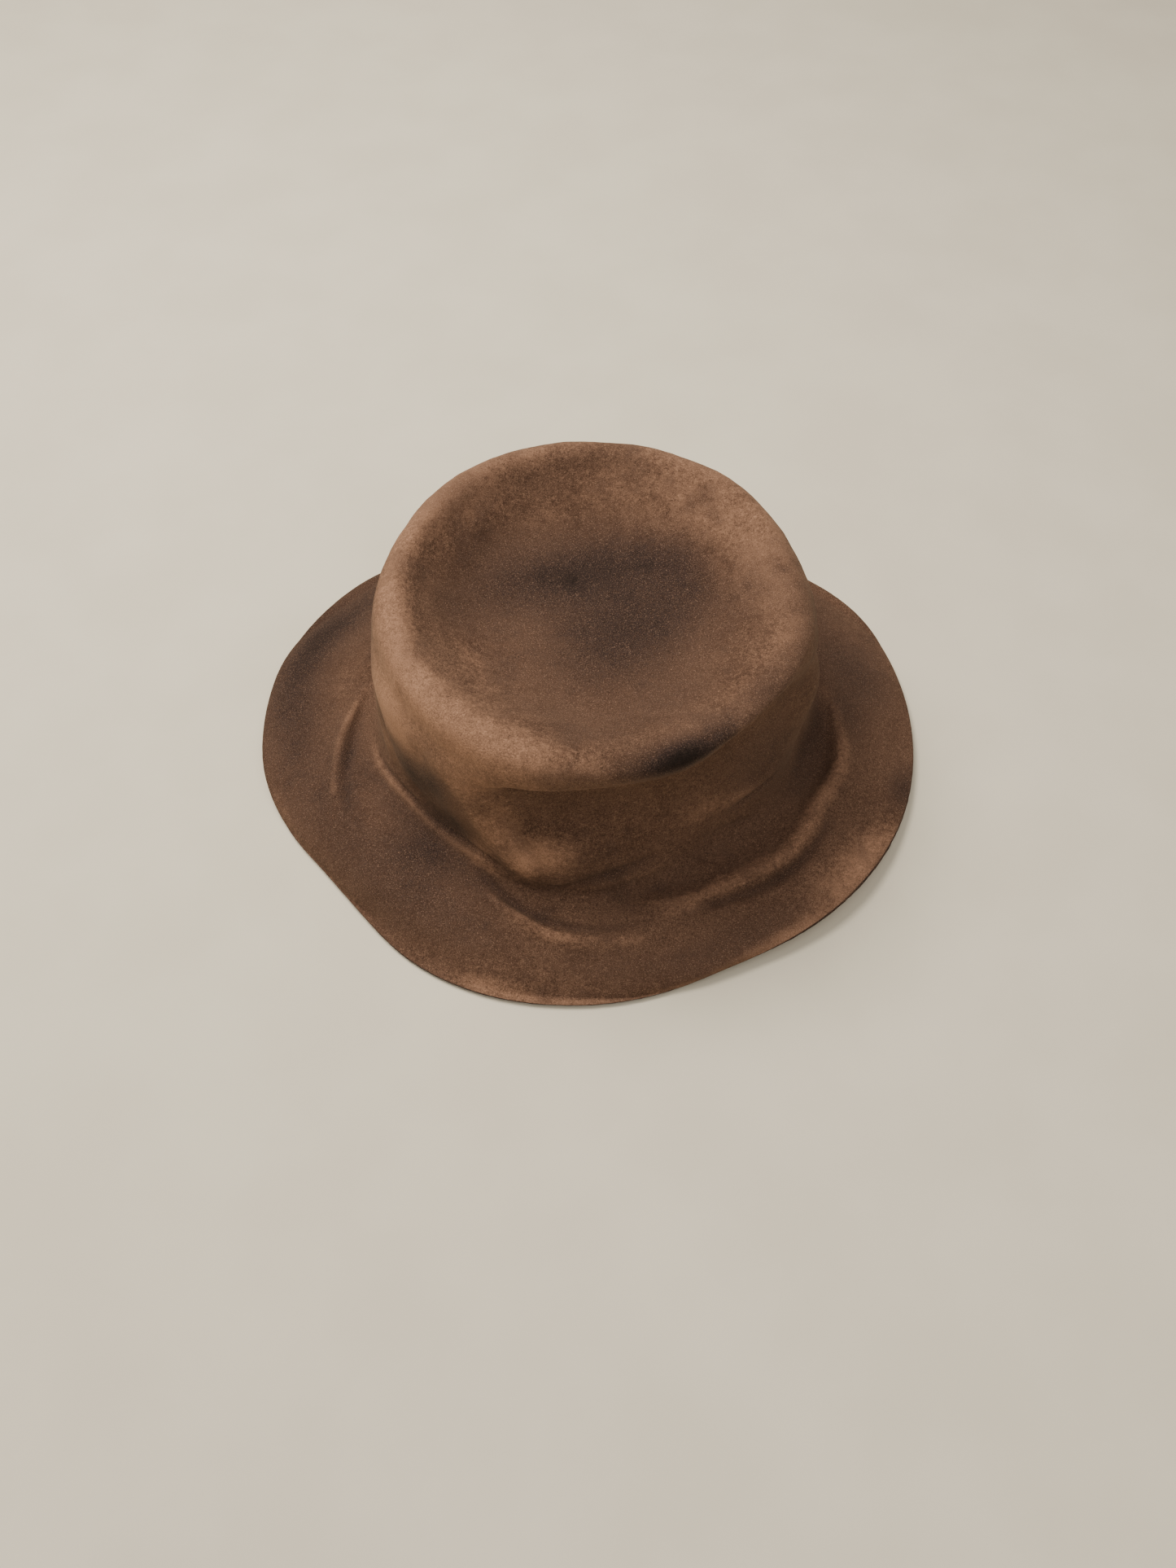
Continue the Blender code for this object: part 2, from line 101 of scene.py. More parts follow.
# Dents and bulges: ring or rings, bearing, spread, push outward, push up
PUSHES = (
    # the wall is folded in under the near side of the rim, from a sharp corner at the left
    ("rim_low", 284, 20, -4, 4), ("rim_low", 322, 17, -8, 6), ("rim_outer", 318, 22, -2.5, 2),
    ("rim_low", 235, 14, 0.5, -3), ("rim_low to wall_high", 218, 12, -1.2, 0),
    ("wall_high", 266, 15, -13.5, 3), ("wall_high", 312, 25, -15, 6), ("wall_mid", 271, 17, -11, 0),
    ("wall_mid", 309, 24, -13.5, 0), ("wall_low", 278, 14, -3.5, 0), ("wall_low", 309, 22, -11.5, 0),
    ("wall_foot to valley", 306, 22, -11, 0), ("wall_foot to valley", 218, 14, -6, 0),
    # the wall leans in toward its foot at the right
    ("wall_high to wall_mid", 352, 9, 4, 0), ("wall_low", 350, 11, -2.5, 0),
    ("wall_foot to break", 347, 12, -7, 0), ("valley", 345, 14, -2, -2),
    # and stands fuller at the left, flush with the rim
    ("wall_high to wall_mid", 208, 14, 2.5, 0),
    # upright corner at the near left of the crown, with a dent beside it
    ("wall_high to wall_mid", 237, 9, 3, -2), ("wall_mid to wall_low", 219, 10, -1.5, 0),
    # bulge at the foot of the wall
    ("wall_low to wall_foot", 258, 10, 6, 0), ("break to valley", 260, 14, 2, 0),
    # the rim is a little fuller on the right, flatter at the far left
    ("rim_outer to rim_low", 348, 12, 2, 0), ("rim_crest to wall_high", 50, 16, 2.5, 0),
    ("rim_crest to wall_high", 150, 16, -1.5, 0),
    # waves of the brim: it comes down to the floor in four places
    ("brim_out", 221, 17, -6, -5.2), ("edge", 218, 15, -11.5, -8.5), ("brim_out", 268, 14, 1, -5.2),
    ("edge", 268, 14, -1, -8.5), ("brim_out", 42, 15, 6, -4.5), ("edge", 42, 15, 8, -7),
    ("brim_out", 138, 15, 7, -4.5), ("edge", 138, 15, 9, -7), ("brim_out", 320, 18, -3, 2),
    ("edge", 294, 13, -5.5, 0), ("edge", 322, 16, -2.5, 5), ("brim_out to edge", 182, 14, 0.5, 3),
    ("brim_out to edge", 160, 9, 3.5, 0), ("brim_out to edge", 14, 13, 2.5, 0),
    ("brim_out to edge", 30, 10, 3.5, 0), ("brim_out to edge", 88, 18, 1.6, 2),
)

# Folds and welts drawn on the face: points (bearing, station, height), half width. A height above 0
# is a welt that stands proud, and below 0 a crease; each fades out at its ends.
FOLDS = (
    # welt on the brim at the left, and the trough on its inner side
    (((164, 12.1, 0.5), (170, 12.4, 1.4), (177, 12.6, 1.8), (184, 12.95, 1.9), (191, 13.2, 1.7),
      (198, 13.45, 1.3), (206, 13.6, 0.4)), 1.9),
    (((172, 12, -0.4), (179, 12.2, -1.3), (186, 12.5, -1.8), (193, 12.9, -1.9), (200, 13.15, -1.6),
      (208, 13.45, -0.4)), 2),
    # sharp crease where the wall meets the brim at the left, with a pinched welt outside it
    (((184, 11.1, -0.5), (192, 10.95, -1.3), (201, 10.75, -1.7), (210, 10.68, -1.9), (219, 10.75, -1.9),
      (227, 10.5, -1.8), (235, 10.2, -1.6), (243, 10.15, -1.4), (250, 10.25, -0.8)), 0.8),
    (((188, 11.25, 0.3), (196, 11.1, 0.8), (204, 11, 1), (213, 10.98, 1), (222, 11, 1), (230, 10.85, 1),
      (238, 10.6, 1), (246, 10.6, 0.7), (254, 10.75, 0.3)), 1.3),
    # crease under the bulge at the near side
    (((255, 10.6, -0.4), (260, 10.65, -1.6), (264, 10.35, -2.4), (269, 10.1, -2.6), (275, 10.05, -2.3),
      (281, 10, -1.5), (288, 9.85, -0.3)), 1),
    (((262, 10.95, 0.3), (268, 10.75, 1), (276, 10.6, 1.1), (284, 10.6, 0.9), (292, 10.6, 0.3)), 1.9),
    # crease across the near brim, and the fuller felt outside it
    (((238, 11.1, -0.4), (243, 11.5, -1.9), (248, 11.95, -2.6), (253, 12.4, -2.8), (258, 12.75, -2.6),
      (263, 13, -2.3), (269, 13.12, -2), (276, 13.1, -1.4), (283, 13, -0.4)), 1.3),
    (((243, 12, 0.5), (249, 12.45, 1.7), (254, 12.9, 2), (260, 13.3, 2), (268, 13.5, 1.7), (277, 13.5, 1.2),
      (286, 13.4, 0.3)), 2.4),
    # short crease and soft welts on the near right of the brim
    (((279, 11.8, -0.3), (285, 11.95, -1), (290, 12.1, -1.1), (296, 12.3, -0.9), (301, 12.35, -0.2)), 1.1),
    (((276, 12.2, 0.3), (284, 12.5, 1.1), (292, 12.65, 1.4), (300, 12.75, 1.4), (308, 12.85, 0.5)), 1.8),
    # welt on the brim at the right, with the trough outside it
    (((16, 12.2, 0.2), (10, 12.35, 0.9), (4, 12.7, 1.3), (356, 13, 1.4), (350, 13.12, 1.5), (345, 13, 1.7),
      (339, 12.78, 1.9), (333, 12.68, 2.1), (326, 12.82, 2.2), (318, 12.92, 2.2), (310, 12.8, 2),
      (302, 12.68, 1.5), (294, 12.6, 0.6)), 2.8),
    (((336, 13.25, -0.4), (328, 13.38, -1.8), (321, 13.42, -2.6), (314, 13.38, -2.8), (307, 13.25, -2.6),
      (300, 13.1, -2.2), (293, 13, -1.6), (285, 13.15, -0.5)), 1.5),
    # hollow between the right of the wall and that welt
    (((12, 11.7, -0.4), (0, 11.7, -1), (350, 12.1, -1.4), (340, 12, -1.4), (328, 11.7, -0.6)), 3),
    # creases low on the right of the wall
    (((308, 9.65, -0.2), (313, 9.55, -1.3), (319, 9.45, -1.5), (325, 9.4, -1.3), (331, 9.3, -0.3)), 0.9),
    (((306, 9.3, 0.2), (312, 9.2, 0.8), (319, 9.1, 1), (326, 9.05, 0.8), (332, 9, 0.2)), 2.2),
    (((298, 10.4, -0.2), (306, 10.35, -0.8), (314, 10.6, -0.8), (322, 11, -0.2)), 1.4),
    # upright corner of the crown at the near left
    (((235, 7, 0.2), (237, 7.7, 0.8), (241, 8.5, 1.1), (246, 9.1, 1), (252, 9.7, 0.9), (257, 10.1, 0.3)),
      3.2),
    (((243, 7.5, -0.3), (248, 8.3, -1.1), (254, 8.9, -1), (259, 9.2, -0.2)), 2.6),
    # soft folds in the stained dent left of it, and two rubbed scratches on the rim
    (((222, 8, -0.1), (225, 8.6, -0.5), (228, 9.2, -0.6), (232, 9.8, -0.5), (236, 10, -0.1)), 4),
    (((196, 7, -0.2), (199, 7.9, -0.9), (203, 8.8, -0.9), (206, 9.6, -0.2)), 2.6),
    (((190, 7.4, 0.2), (193, 8.2, 0.8), (197, 9.2, 0.8), (201, 10, 0.2)), 2.2),
    (((209, 5.2, -0.1), (212, 5.6, -0.4), (215, 6, -0.4), (218, 6.5, -0.1)), 0.8),
    # lip of the rim where the wall is folded in under it
    (((238, 7, 0.1), (246, 6.6, 0.5), (256, 6.2, 0.6), (268, 6.1, 0.6), (284, 6.1, 0.5), (300, 6.1, 0.5),
      (320, 5.8, 0.5), (340, 6.1, 0.2)), 1.6),
    (((238, 7.4, -0.4), (248, 7.1, -1.6), (260, 6.75, -1.8), (276, 6.7, -1.6), (294, 6.7, -1.6),
      (312, 6.6, -1.6), (330, 6.7, -1.2), (346, 6.9, -0.3)), 1.6),
    # soft folds on the far side, where the crown has slumped
    (((60, 8.2, -0.2), (72, 8, -1.6), (90, 7.9, -2), (108, 8.1, -1.4), (120, 8.4, -0.2)), 4),
    (((62, 8.9, 0.2), (78, 8.8, 1.2), (96, 8.8, 1.3), (112, 9.1, 0.2)), 4),
    (((128, 7.4, -0.2), (134, 8.2, -1.4), (138, 9.2, -1.4), (140, 10, -0.3)), 3.4),
    (((22, 7.2, -0.2), (26, 8.2, -1.3), (24, 9.3, -1.2), (20, 10.1, -0.2)), 3.2),
    (((100, 12.4, 0.2), (84, 12.8, 1.3), (68, 13, 1.4), (52, 12.9, 0.9), (40, 12.6, 0.2)), 2.6),
    (((146, 12.4, 0.2), (134, 12.9, 1.2), (120, 13.1, 1.1), (108, 13, 0.2)), 2.6),
    (((94, 13.4, -0.2), (80, 13.7, -1.1), (64, 13.8, -1), (50, 13.6, -0.2)), 2.6),
)

# Dark stains, and painted shade on the rim's right, under the lip and along the crease under the near
# bulge: bearing, station, half length around, half length along the profile (mm), strength
STAINS_AND_SHADE = (
    # middle of the dish
    (0, 0.2, 30, 26, 0.56), (88, 0.8, 12, 10, 0.34), (112, 1.1, 16, 9, 0.3),
    (54, 1.3, 12, 10, 0.3), (8, 1.4, 12, 10, 0.3), (38, 1.8, 10, 8, 0.42), (150, 1, 14, 12, 0.34),
    (158, 1.7, 15, 9, 0.36), (354, 0.8, 14, 12, 0.16), (300, 0.7, 20, 14, 0.28),
    (182, 2.3, 12, 8, 0.22), (10, 2.8, 12, 9, 0.3), (300, 2.3, 14, 7, 0.2),
    (250, 2.4, 24, 6, 0.12), (140, 4, 14, 7, 0.25),
    # blotch on the rim, and shade on its right
    (292, 4.75, 13, 5, 1.35), (322, 4.3, 26, 6, 0.36), (350, 4.6, 18, 7, 0.2),
    (268, 5.3, 16, 5, 0.3), (4, 5, 16, 8, 0.3),
    # dent at the near left, and the brim in front of it
    (216, 8.6, 9, 9, 0.85), (200, 9.3, 12, 9, 0.18), (204, 7.7, 14, 10, 0.12), (226, 8, 6, 7, 0.8),
    (224, 10.2, 7, 3.5, 0.55), (231, 9.3, 6, 7, 0.8), (213, 11.9, 18, 5, 0.4),
    (228, 12, 10, 6, 0.54), (242, 12, 10, 4, 0.3), (252, 12.4, 8, 3, 0.25),
    (224, 12.8, 13, 6, 0.48),
    # the left of the brim and its far side
    (162, 14.8, 30, 10, 0.64), (186, 14.3, 26, 12, 0.36), (190, 12.6, 14, 7, 0.3),
    (212, 13.7, 26, 10, 0.36), (238, 13.6, 24, 9, 0.36), (150, 14.7, 16, 8, 0.26),
    (176, 14.3, 14, 9, 0.22), (12, 14.4, 12, 9, 0.32), (140, 14.4, 36, 16, 0.5),
    (100, 14, 60, 16, 0.45), (52, 14.2, 34, 14, 0.5), (20, 14, 14, 12, 0.46),
    (4, 13.4, 12, 7, 0.4),
    # the near right of the brim and its right end
    (300, 14.4, 26, 7, 0.26), (276, 14.2, 26, 6, 0.16), (347, 15.6, 8, 5, 0.62),
    # painted shadow under the lip on the right of the wall, darker felt in the hollow beside it, and
    # painted shade along the crease under the near bulge
    (325, 8.3, 14, 12, 0.3), (332, 9.6, 12, 9, 0.3), (347, 11.1, 10, 5, 0.45),
    (358, 11.2, 9, 5, 0.3), (268, 9.9, 8, 2, 0.3), (274, 10.2, 10, 2, 0.15),
    # the far side of the crown, seldom brushed
    (60, 8.6, 24, 16, 0.45), (100, 9.4, 30, 12, 0.4), (140, 9, 16, 14, 0.45),
    (20, 9.2, 16, 14, 0.4),
)

# Rubbed places, where the nap is worn pale, with painted light on the left of the rim and wall: the same
# columns
RUBS_AND_LIGHT = (
    # the rim, palest at the near left: partly worn nap and partly painted light from the left, and painted
    # light on the wall below it at the left
    (234, 5.3, 24, 12, 0.62), (214, 4.8, 20, 8, 0.34), (196, 4.5, 18, 7, 0.4),
    (176, 4.4, 20, 6, 0.3), (252, 4.6, 16, 7, 0.32), (270, 5.2, 12, 6, 0.22),
    (312, 4.9, 16, 6, 0.22), (346, 4.4, 18, 8, 0.35), (206, 6.8, 14, 11, 0.95),
    (212, 7.4, 9, 7, 0.45), (236, 7, 10, 7, 0.42), (246, 8.3, 6, 9, 0.4),
    # the dish, where the light nap shows
    (36, 3.2, 30, 14, 0.24), (70, 2.6, 26, 12, 0.2), (140, 3.4, 20, 9, 0.26),
    (112, 2.3, 14, 7, 0.14), (214, 2.3, 20, 9, 0.18), (10, 2.9, 14, 8, 0.2),
    (320, 3.2, 18, 5, 0.14),
    # the foot of the wall, the pinched welt and the bulge
    (201, 9, 8, 9, 0.42), (207, 11.05, 18, 1.5, 0.32), (236, 10.8, 16, 1.6, 0.36),
    (191, 11, 8, 2, 0.25), (240, 9.7, 5, 6, 0.25), (258, 8.9, 7, 6, 0.62), (252, 9.3, 5, 7, 0.42),
    (304, 8.9, 10, 6, 0.26), (276, 8.6, 16, 9, 0.12), (208, 13, 12, 5, 0.12),
    # the welts of the brim and its edge
    (336, 12.8, 20, 4, 0.15), (306, 12.7, 18, 4, 0.12), (290, 12.9, 9, 3, 0.25),
    (322, 14.6, 22, 8, 0.24), (262, 14.5, 22, 7, 0.12), (255, 15.4, 15, 3.2, 0.42),
    (270, 15.6, 14, 2, 0.4), (302, 15.5, 20, 2.2, 0.5), (284, 15.7, 10, 1.6, 0.35),
    (328, 15.2, 16, 4.5, 0.42), (200, 15.4, 24, 2.5, 0.18),
    # the far side of the rim
    (110, 4.6, 40, 7, 0.3), (60, 4.6, 40, 7, 0.3), (20, 4.6, 24, 7, 0.3), (150, 4.6, 24, 7, 0.4),
)


# ---- the felt's outer face

def bell(value, middle, spread):
    """1 at the middle, fading to 0 on both sides of it."""
    return np.exp(-0.5 * ((value - middle) / spread) ** 2)


def ring_knots(bearings):
    """Points of every ring, pushed by its dents: rings x bearings x 3, in millimetres."""
    cos = np.cos(np.radians(bearings))
    sin = np.sin(np.radians(bearings))
    knots = np.zeros((len(RINGS), len(bearings), 3))
    for knot, (_, mid_x, mid_y, half_x, half_y, height, rise_x, rise_y) in zip(knots, RINGS):
        knot[:, 0] = mid_x + half_x * cos
        knot[:, 1] = mid_y + half_y * sin
        knot[:, 2] = height + rise_x * knot[:, 0] + rise_y * knot[:, 1]
    for rings, middle, spread, outward, up in PUSHES:
        span = [RING_NAMES.index(name) for name in rings.split(" to ")]
        push = np.stack([outward * cos, outward * sin, up + 0 * cos], axis=-1)
        turn = (bearings - middle + 180.0) % 360.0 - 180.0
        knots[span[0]:span[-1] + 1] += bell(turn, 0, spread)[:, None] * push
    return with_ends(knots)


def read_knots(knots, station):
    """Points at one station, on a Catmull-Rom curve through the rings."""
    start = min(int(station), len(RINGS) - 2)
    p0, p1, p2, p3 = knots[start:start + 4]

    def root_distance(a, b):
        return np.sqrt(np.linalg.norm(b - a, axis=-1, keepdims=True))

    t1 = root_distance(p0, p1)
    t2 = t1 + root_distance(p1, p2)
    t3 = t2 + root_distance(p2, p3)
    t = t1 + (t2 - t1) * (station - start)
    a1 = ((t1 - t) * p0 + t * p1) / t1
    a2 = ((t2 - t) * p1 + (t - t1) * p2) / (t2 - t1)
    a3 = ((t3 - t) * p2 + (t - t2) * p3) / (t3 - t2)
    b1 = ((t2 - t) * a1 + t * a2) / t2
    b2 = ((t3 - t) * a2 + (t - t1) * a3) / (t3 - t1)
    return ((t2 - t) * b1 + (t - t1) * b2) / (t2 - t1)


def with_ends(points):
    """The points with one more beyond each end, in line with the last two."""
    return np.concatenate([[2 * points[0] - points[1]], points, [2 * points[-1] - points[-2]]])


def spline(points, reach):
    """Catmull-Rom curve through the points, read at places counted in points from the first."""
    padded = with_ends(points)
    curve = []
    for value in reach:
        start = min(int(value), len(points) - 2)
        a, b, c, d = padded[start:start + 4]
        t = value - start
        curve.append(0.5 * (2 * b + (c - a) * t + (2 * a - 5 * b + 4 * c - d) * t * t
                            + (3 * b - a - 3 * c + d) * t ** 3))
    return np.array(curve)


def face_grid(bearings, stations):
    """Points of the plain outer face: stations x bearings x 3."""
    knots = ring_knots(bearings)
    return np.stack([read_knots(knots, station) for station in stations])


def unit(vectors):
    """The vectors at length 1."""
    return vectors / np.linalg.norm(vectors, axis=-1, keepdims=True)


def grid_normals(grid):
    """Unit normals of a grid of rows round the hat, pointing out of the felt."""
    around = np.roll(grid, -1, axis=1) - np.roll(grid, 1, axis=1)
    down = np.gradient(grid, axis=0)
    return unit(np.cross(down, around))


# ---- folds, stains and rubbed places, with painted light and shade

def drawn_line(points):
    """A smooth line on the face through (bearing, station, value) points: places and values."""
    points = np.array(points, float)
    points[:, 0] = np.degrees(np.unwrap(np.radians(points[:, 0])))
    reach = np.linspace(0, len(points) - 1, 48)
    line = spline(points, reach)
    places = np.stack([read_knots(ring_knots(row[:1]), row[1])[0] for row in line])
    ends = np.clip(np.minimum(reach, reach[-1] - reach) / 0.7, 0, 1)
    return places, line[:, 2] * (ends * ends * (3 - 2 * ends))


def fold_heights(grid):
    """How far the folds and welts lift each point of the face, in millimetres."""
    flat = grid.reshape(-1, 3)
    lift = np.zeros(len(flat))
    for points, half_width in FOLDS:
        places, heights = drawn_line(points)
        low = places.min(axis=0) - 3.2 * half_width
        high = places.max(axis=0) + 3.2 * half_width
        near = np.flatnonzero(((flat > low) & (flat < high)).all(axis=1))
        if not len(near):
            continue
        gaps = np.linalg.norm(flat[near, None, :] - places[None, :, :], axis=-1)
        nearest = gaps.argmin(axis=1)
        distance = gaps[np.arange(len(near)), nearest]
        lift[near] += heights[nearest] * bell(distance, 0, half_width)
    return lift.reshape(grid.shape[:2])


def patches(grid, table):
    """Soft oval patches on the face, added up: bearing, station, half lengths, strength."""
    total = np.zeros(grid.shape[:2])
    for bearing, station, around, along, strength in table:
        here = np.array((bearing,), float)
        middle = read_knots(ring_knots(here), station)[0]
        ahead = unit(read_knots(ring_knots(here + 0.5), station)[0] - middle)
        offset = grid - middle
        reach = offset @ ahead
        rest = np.linalg.norm(offset - reach[..., None] * ahead, axis=-1)
        total += strength * bell(reach, 0, around) * bell(rest, 0, along)
    return total


def lumps(grid, size, octaves, seed):
    """Soft unevenness of the felt, from -1 to 1; size is the width of the lumps in millimetres."""
    shift = Vector((seed * 17.3, seed * 5.1, seed * 29.7))
    flat = grid.reshape(-1, 3) / size
    values = [noise.fractal(Vector(point) + shift, 1.0, 2.0, octaves) for point in flat]
    return np.array(values).reshape(grid.shape[:-1])


# ---- mesh helpers

def add_object(name, data):
    """A new object in the scene."""
    made = bpy.data.objects.new(name, data)
    bpy.context.scene.collection.objects.link(made)
    return made


def add_mesh(name, points, faces, material, values=None):
    """A smooth mesh object; values are named numbers at its points, for the material to read."""
    mesh = bpy.data.meshes.new(name)
    mesh.from_pydata([tuple(point) for point in np.asarray(points) * MM], [], faces)
    mesh.update()
    mesh.shade_smooth()
    for key, numbers in (values or {}).items():
        layer = mesh.attributes.new(key, "FLOAT", "POINT")
        layer.data.foreach_set("value", np.asarray(numbers, np.float32).ravel())
    mesh.materials.append(material)
    return add_object(name, mesh)


def ring_faces(rows, count, start=0):
    """Quads between closed rows of points."""
    faces = []
    for here in range(start, start + (rows - 1) * count, count):
        there = here + count
        for index in range(count):
            after = (index + 1) % count
            faces.append((here + index, there + index, there + after, here + after))
    return faces


def loft_faces(rows, count, start=0):
    """Quads between closed rows of points, with a cap at each end."""
    last = start + (rows - 1) * count
    caps = [tuple(range(start, start + count)), tuple(range(last, last + count))[::-1]]
    return ring_faces(rows, count, start) + caps


def face_out(piece):
    """Turn every face of a closed piece outward."""
    builder = bmesh.new()
    builder.from_mesh(piece.data)
    bmesh.ops.recalc_face_normals(builder, faces=builder.faces)
    builder.to_mesh(piece.data)
    builder.free()
    return piece


def install(piece, body, node):
    """Set a piece in the frame: the body it moves with and the node it stands for."""
    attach(piece, body)
    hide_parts(node)


def along_wall(bearings, station):
    """Unit vectors in the plain outer face, up the wall toward the tip."""
    step = 0.02
    knots = ring_knots(bearings)
    return unit(read_knots(knots, station - step) - read_knots(knots, station + step))


def inward(bearings, station):
    """Unit normal of the plain outer face, pointing into the felt."""
    step = 0.1
    ahead = read_knots(ring_knots(bearings + step), station)
    behind = read_knots(ring_knots(bearings - step), station)
    return unit(np.cross(along_wall(bearings, station), ahead - behind))


def below_face(bearings, station, depth):
    """Points at a depth under the plain outer face."""
    return read_knots(ring_knots(bearings), station) + depth * inward(bearings, station)


def at_back(station, depth=0.0, side=0.0):
    """A point by the back seam, with the directions up the wall and into the hat."""
    here = np.array((BACK + side,))
    return below_face(here, station, depth)[0], along_wall(here, station)[0], inward(here, station)[0]


def tube(points, radius, sides):
    """Points of a round tube along a path, pinched at both ends."""
    points = np.asarray(points, float)
    along = unit(np.gradient(points, axis=0))
    guide = np.where(np.abs(along[:, 2:]) < 0.8, (0, 0, 1), (1, 0, 0))
    across = unit(np.cross(along, guide))
    out = np.cross(along, across)
    radii = np.full(len(points), radius)
    radii[[0, -1]] *= 0.45
    turns = np.arange(sides) * 2 * math.pi / sides
    rings = [points + radii[:, None] * (math.cos(t) * across + math.sin(t) * out) for t in turns]
    return np.stack(rings, axis=1).reshape(-1, 3)


def smooth_path(points, per):
    """A spline through the points, with per steps between each two."""
    points = np.asarray(points, float)
    return spline(points, np.arange((len(points) - 1) * per + 1) / per)


def sew(name, node, paths, radius, material, sides=6):
    """One piece made of lengths of thread, sewn into the hat."""
    points, faces = [], []
    for path in paths:
        faces += loft_faces(len(path), sides, sum(map(len, points)))
        points.append(tube(path, radius, sides))
    install(face_out(add_mesh(name, np.concatenate(points), faces, material)), "hat", node)


# ---- materials

class Shader:
    """A node material around one Principled shader; textures are in millimetres of the object."""

    def __init__(self, name, roughness, specular, sheen=0.0, sheen_colour=(1, 1, 1)):
        self.material = bpy.data.materials.new(name)
        self.material.use_nodes = True
        self.tree = self.material.node_tree
        self.shader = self.tree.nodes["Principled BSDF"]
        settings = {"Roughness": roughness, "Specular IOR Level": specular, "Sheen Weight": sheen,
                    "Sheen Roughness": 0.45, "Sheen Tint": (*sheen_colour, 1)}
        for key, value in settings.items():
            self.shader.inputs[key].default_value = value
        place = self.node("TexCoord").outputs["Object"]
        self.place = self.node("VectorMath", place, operation="SCALE", Scale=1000.0).outputs[0]

    def node(self, kind, *links, **settings):
        """A node with its first inputs fed, then its named inputs and properties set."""
        made = self.tree.nodes.new("ShaderNode" + kind)
        for key, value in settings.items():
            if key in made.inputs:
                made.inputs[key].default_value = value
            else:
                setattr(made, key, value)
        for socket, value in zip(made.inputs, links):
            self.feed(socket, value)
        return made

    def feed(self, socket, value):
        if isinstance(value, bpy.types.NodeSocket):
            self.tree.links.new(value, socket)
        elif value is not None:
            socket.default_value = (*value, 1) if isinstance(value, tuple) else value

    def value(self, name):
        return self.node("Attribute", attribute_name=name).outputs["Fac"]

    def noise(self, width, detail, roughness=0.5, stretch=None):
        """Noise from 0 to 1 whose lumps are about width millimetres across."""
        place = self.place
        if stretch:
            place = self.node("VectorMath", place, operation="MULTIPLY").outputs[0]
            place.node.inputs[1].default_value = stretch
        made = self.node("TexNoise", place, Scale=1.0 / width, Detail=detail)
        made.inputs["Roughness"].default_value = roughness
        return made.outputs["Fac"]

    def cells(self, width):
        return self.node("TexVoronoi", self.place, Scale=1.0 / width).outputs["Distance"]

    def step(self, value, low, high):
        """0 below low, 1 above high, smooth between."""
        return self.node("MapRange", value, low, high, interpolation_type="SMOOTHSTEP").outputs[0]

    def math(self, operation, first, second=None):
        return self.node("Math", first, second, operation=operation).outputs[0]

    def times(self, first, second):
        return self.math("MULTIPLY", first, second)

    def plus(self, first, second):
        return self.math("ADD", first, second)

    def less(self, first, second):
        return self.math("SUBTRACT", first, second)

    def swing(self, noise, gain):
        """Noise turned to run on both sides of 0."""
        return self.times(self.less(noise, 0.5), gain)

    def clamp(self, value, low, high):
        return self.math("MINIMUM", self.math("MAXIMUM", value, low), high)

    def mix(self, factor, first, second, blend="MIX"):
        return self.node("MixRGB", factor, first, second, blend_type=blend).outputs[0]

    def bump(self, height, distance, strength, under=None):
        made = self.node("Bump", strength, distance * MM)
        self.feed(made.inputs["Height"], height)
        self.feed(made.inputs["Normal"], under)
        return made.outputs[0]

    def finish(self, colour, normal, roughness=None):
        for key, value in (("Base Color", colour), ("Normal", normal), ("Roughness", roughness)):
            self.feed(self.shader.inputs[key], value)
        return self.material


# colours of the felt; the rubbed colour also paints light, and the smoke and soot colours also paint shade
WOOL_DARK = (0.075, 0.040, 0.026)
WOOL_BROWN = (0.100, 0.055, 0.036)
WOOL_MOTTLE = (0.124, 0.069, 0.045)
WOOL_GRAIN = (0.140, 0.079, 0.051)
WOOL_RUBBED_AND_LIT = (0.345, 0.190, 0.118)
WOOL_HAIR = (0.36, 0.22, 0.145)
SMOKE_AND_SHADE_TONE = (0.0290, 0.0190, 0.0170)
SOOT_AND_SHADE_TONE = (0.015, 0.0105, 0.0085)
PORE = (0.017, 0.0100, 0.0076)
INSIDE_DARK = (0.098, 0.055, 0.036)
INSIDE_BROWN = (0.140, 0.080, 0.052)


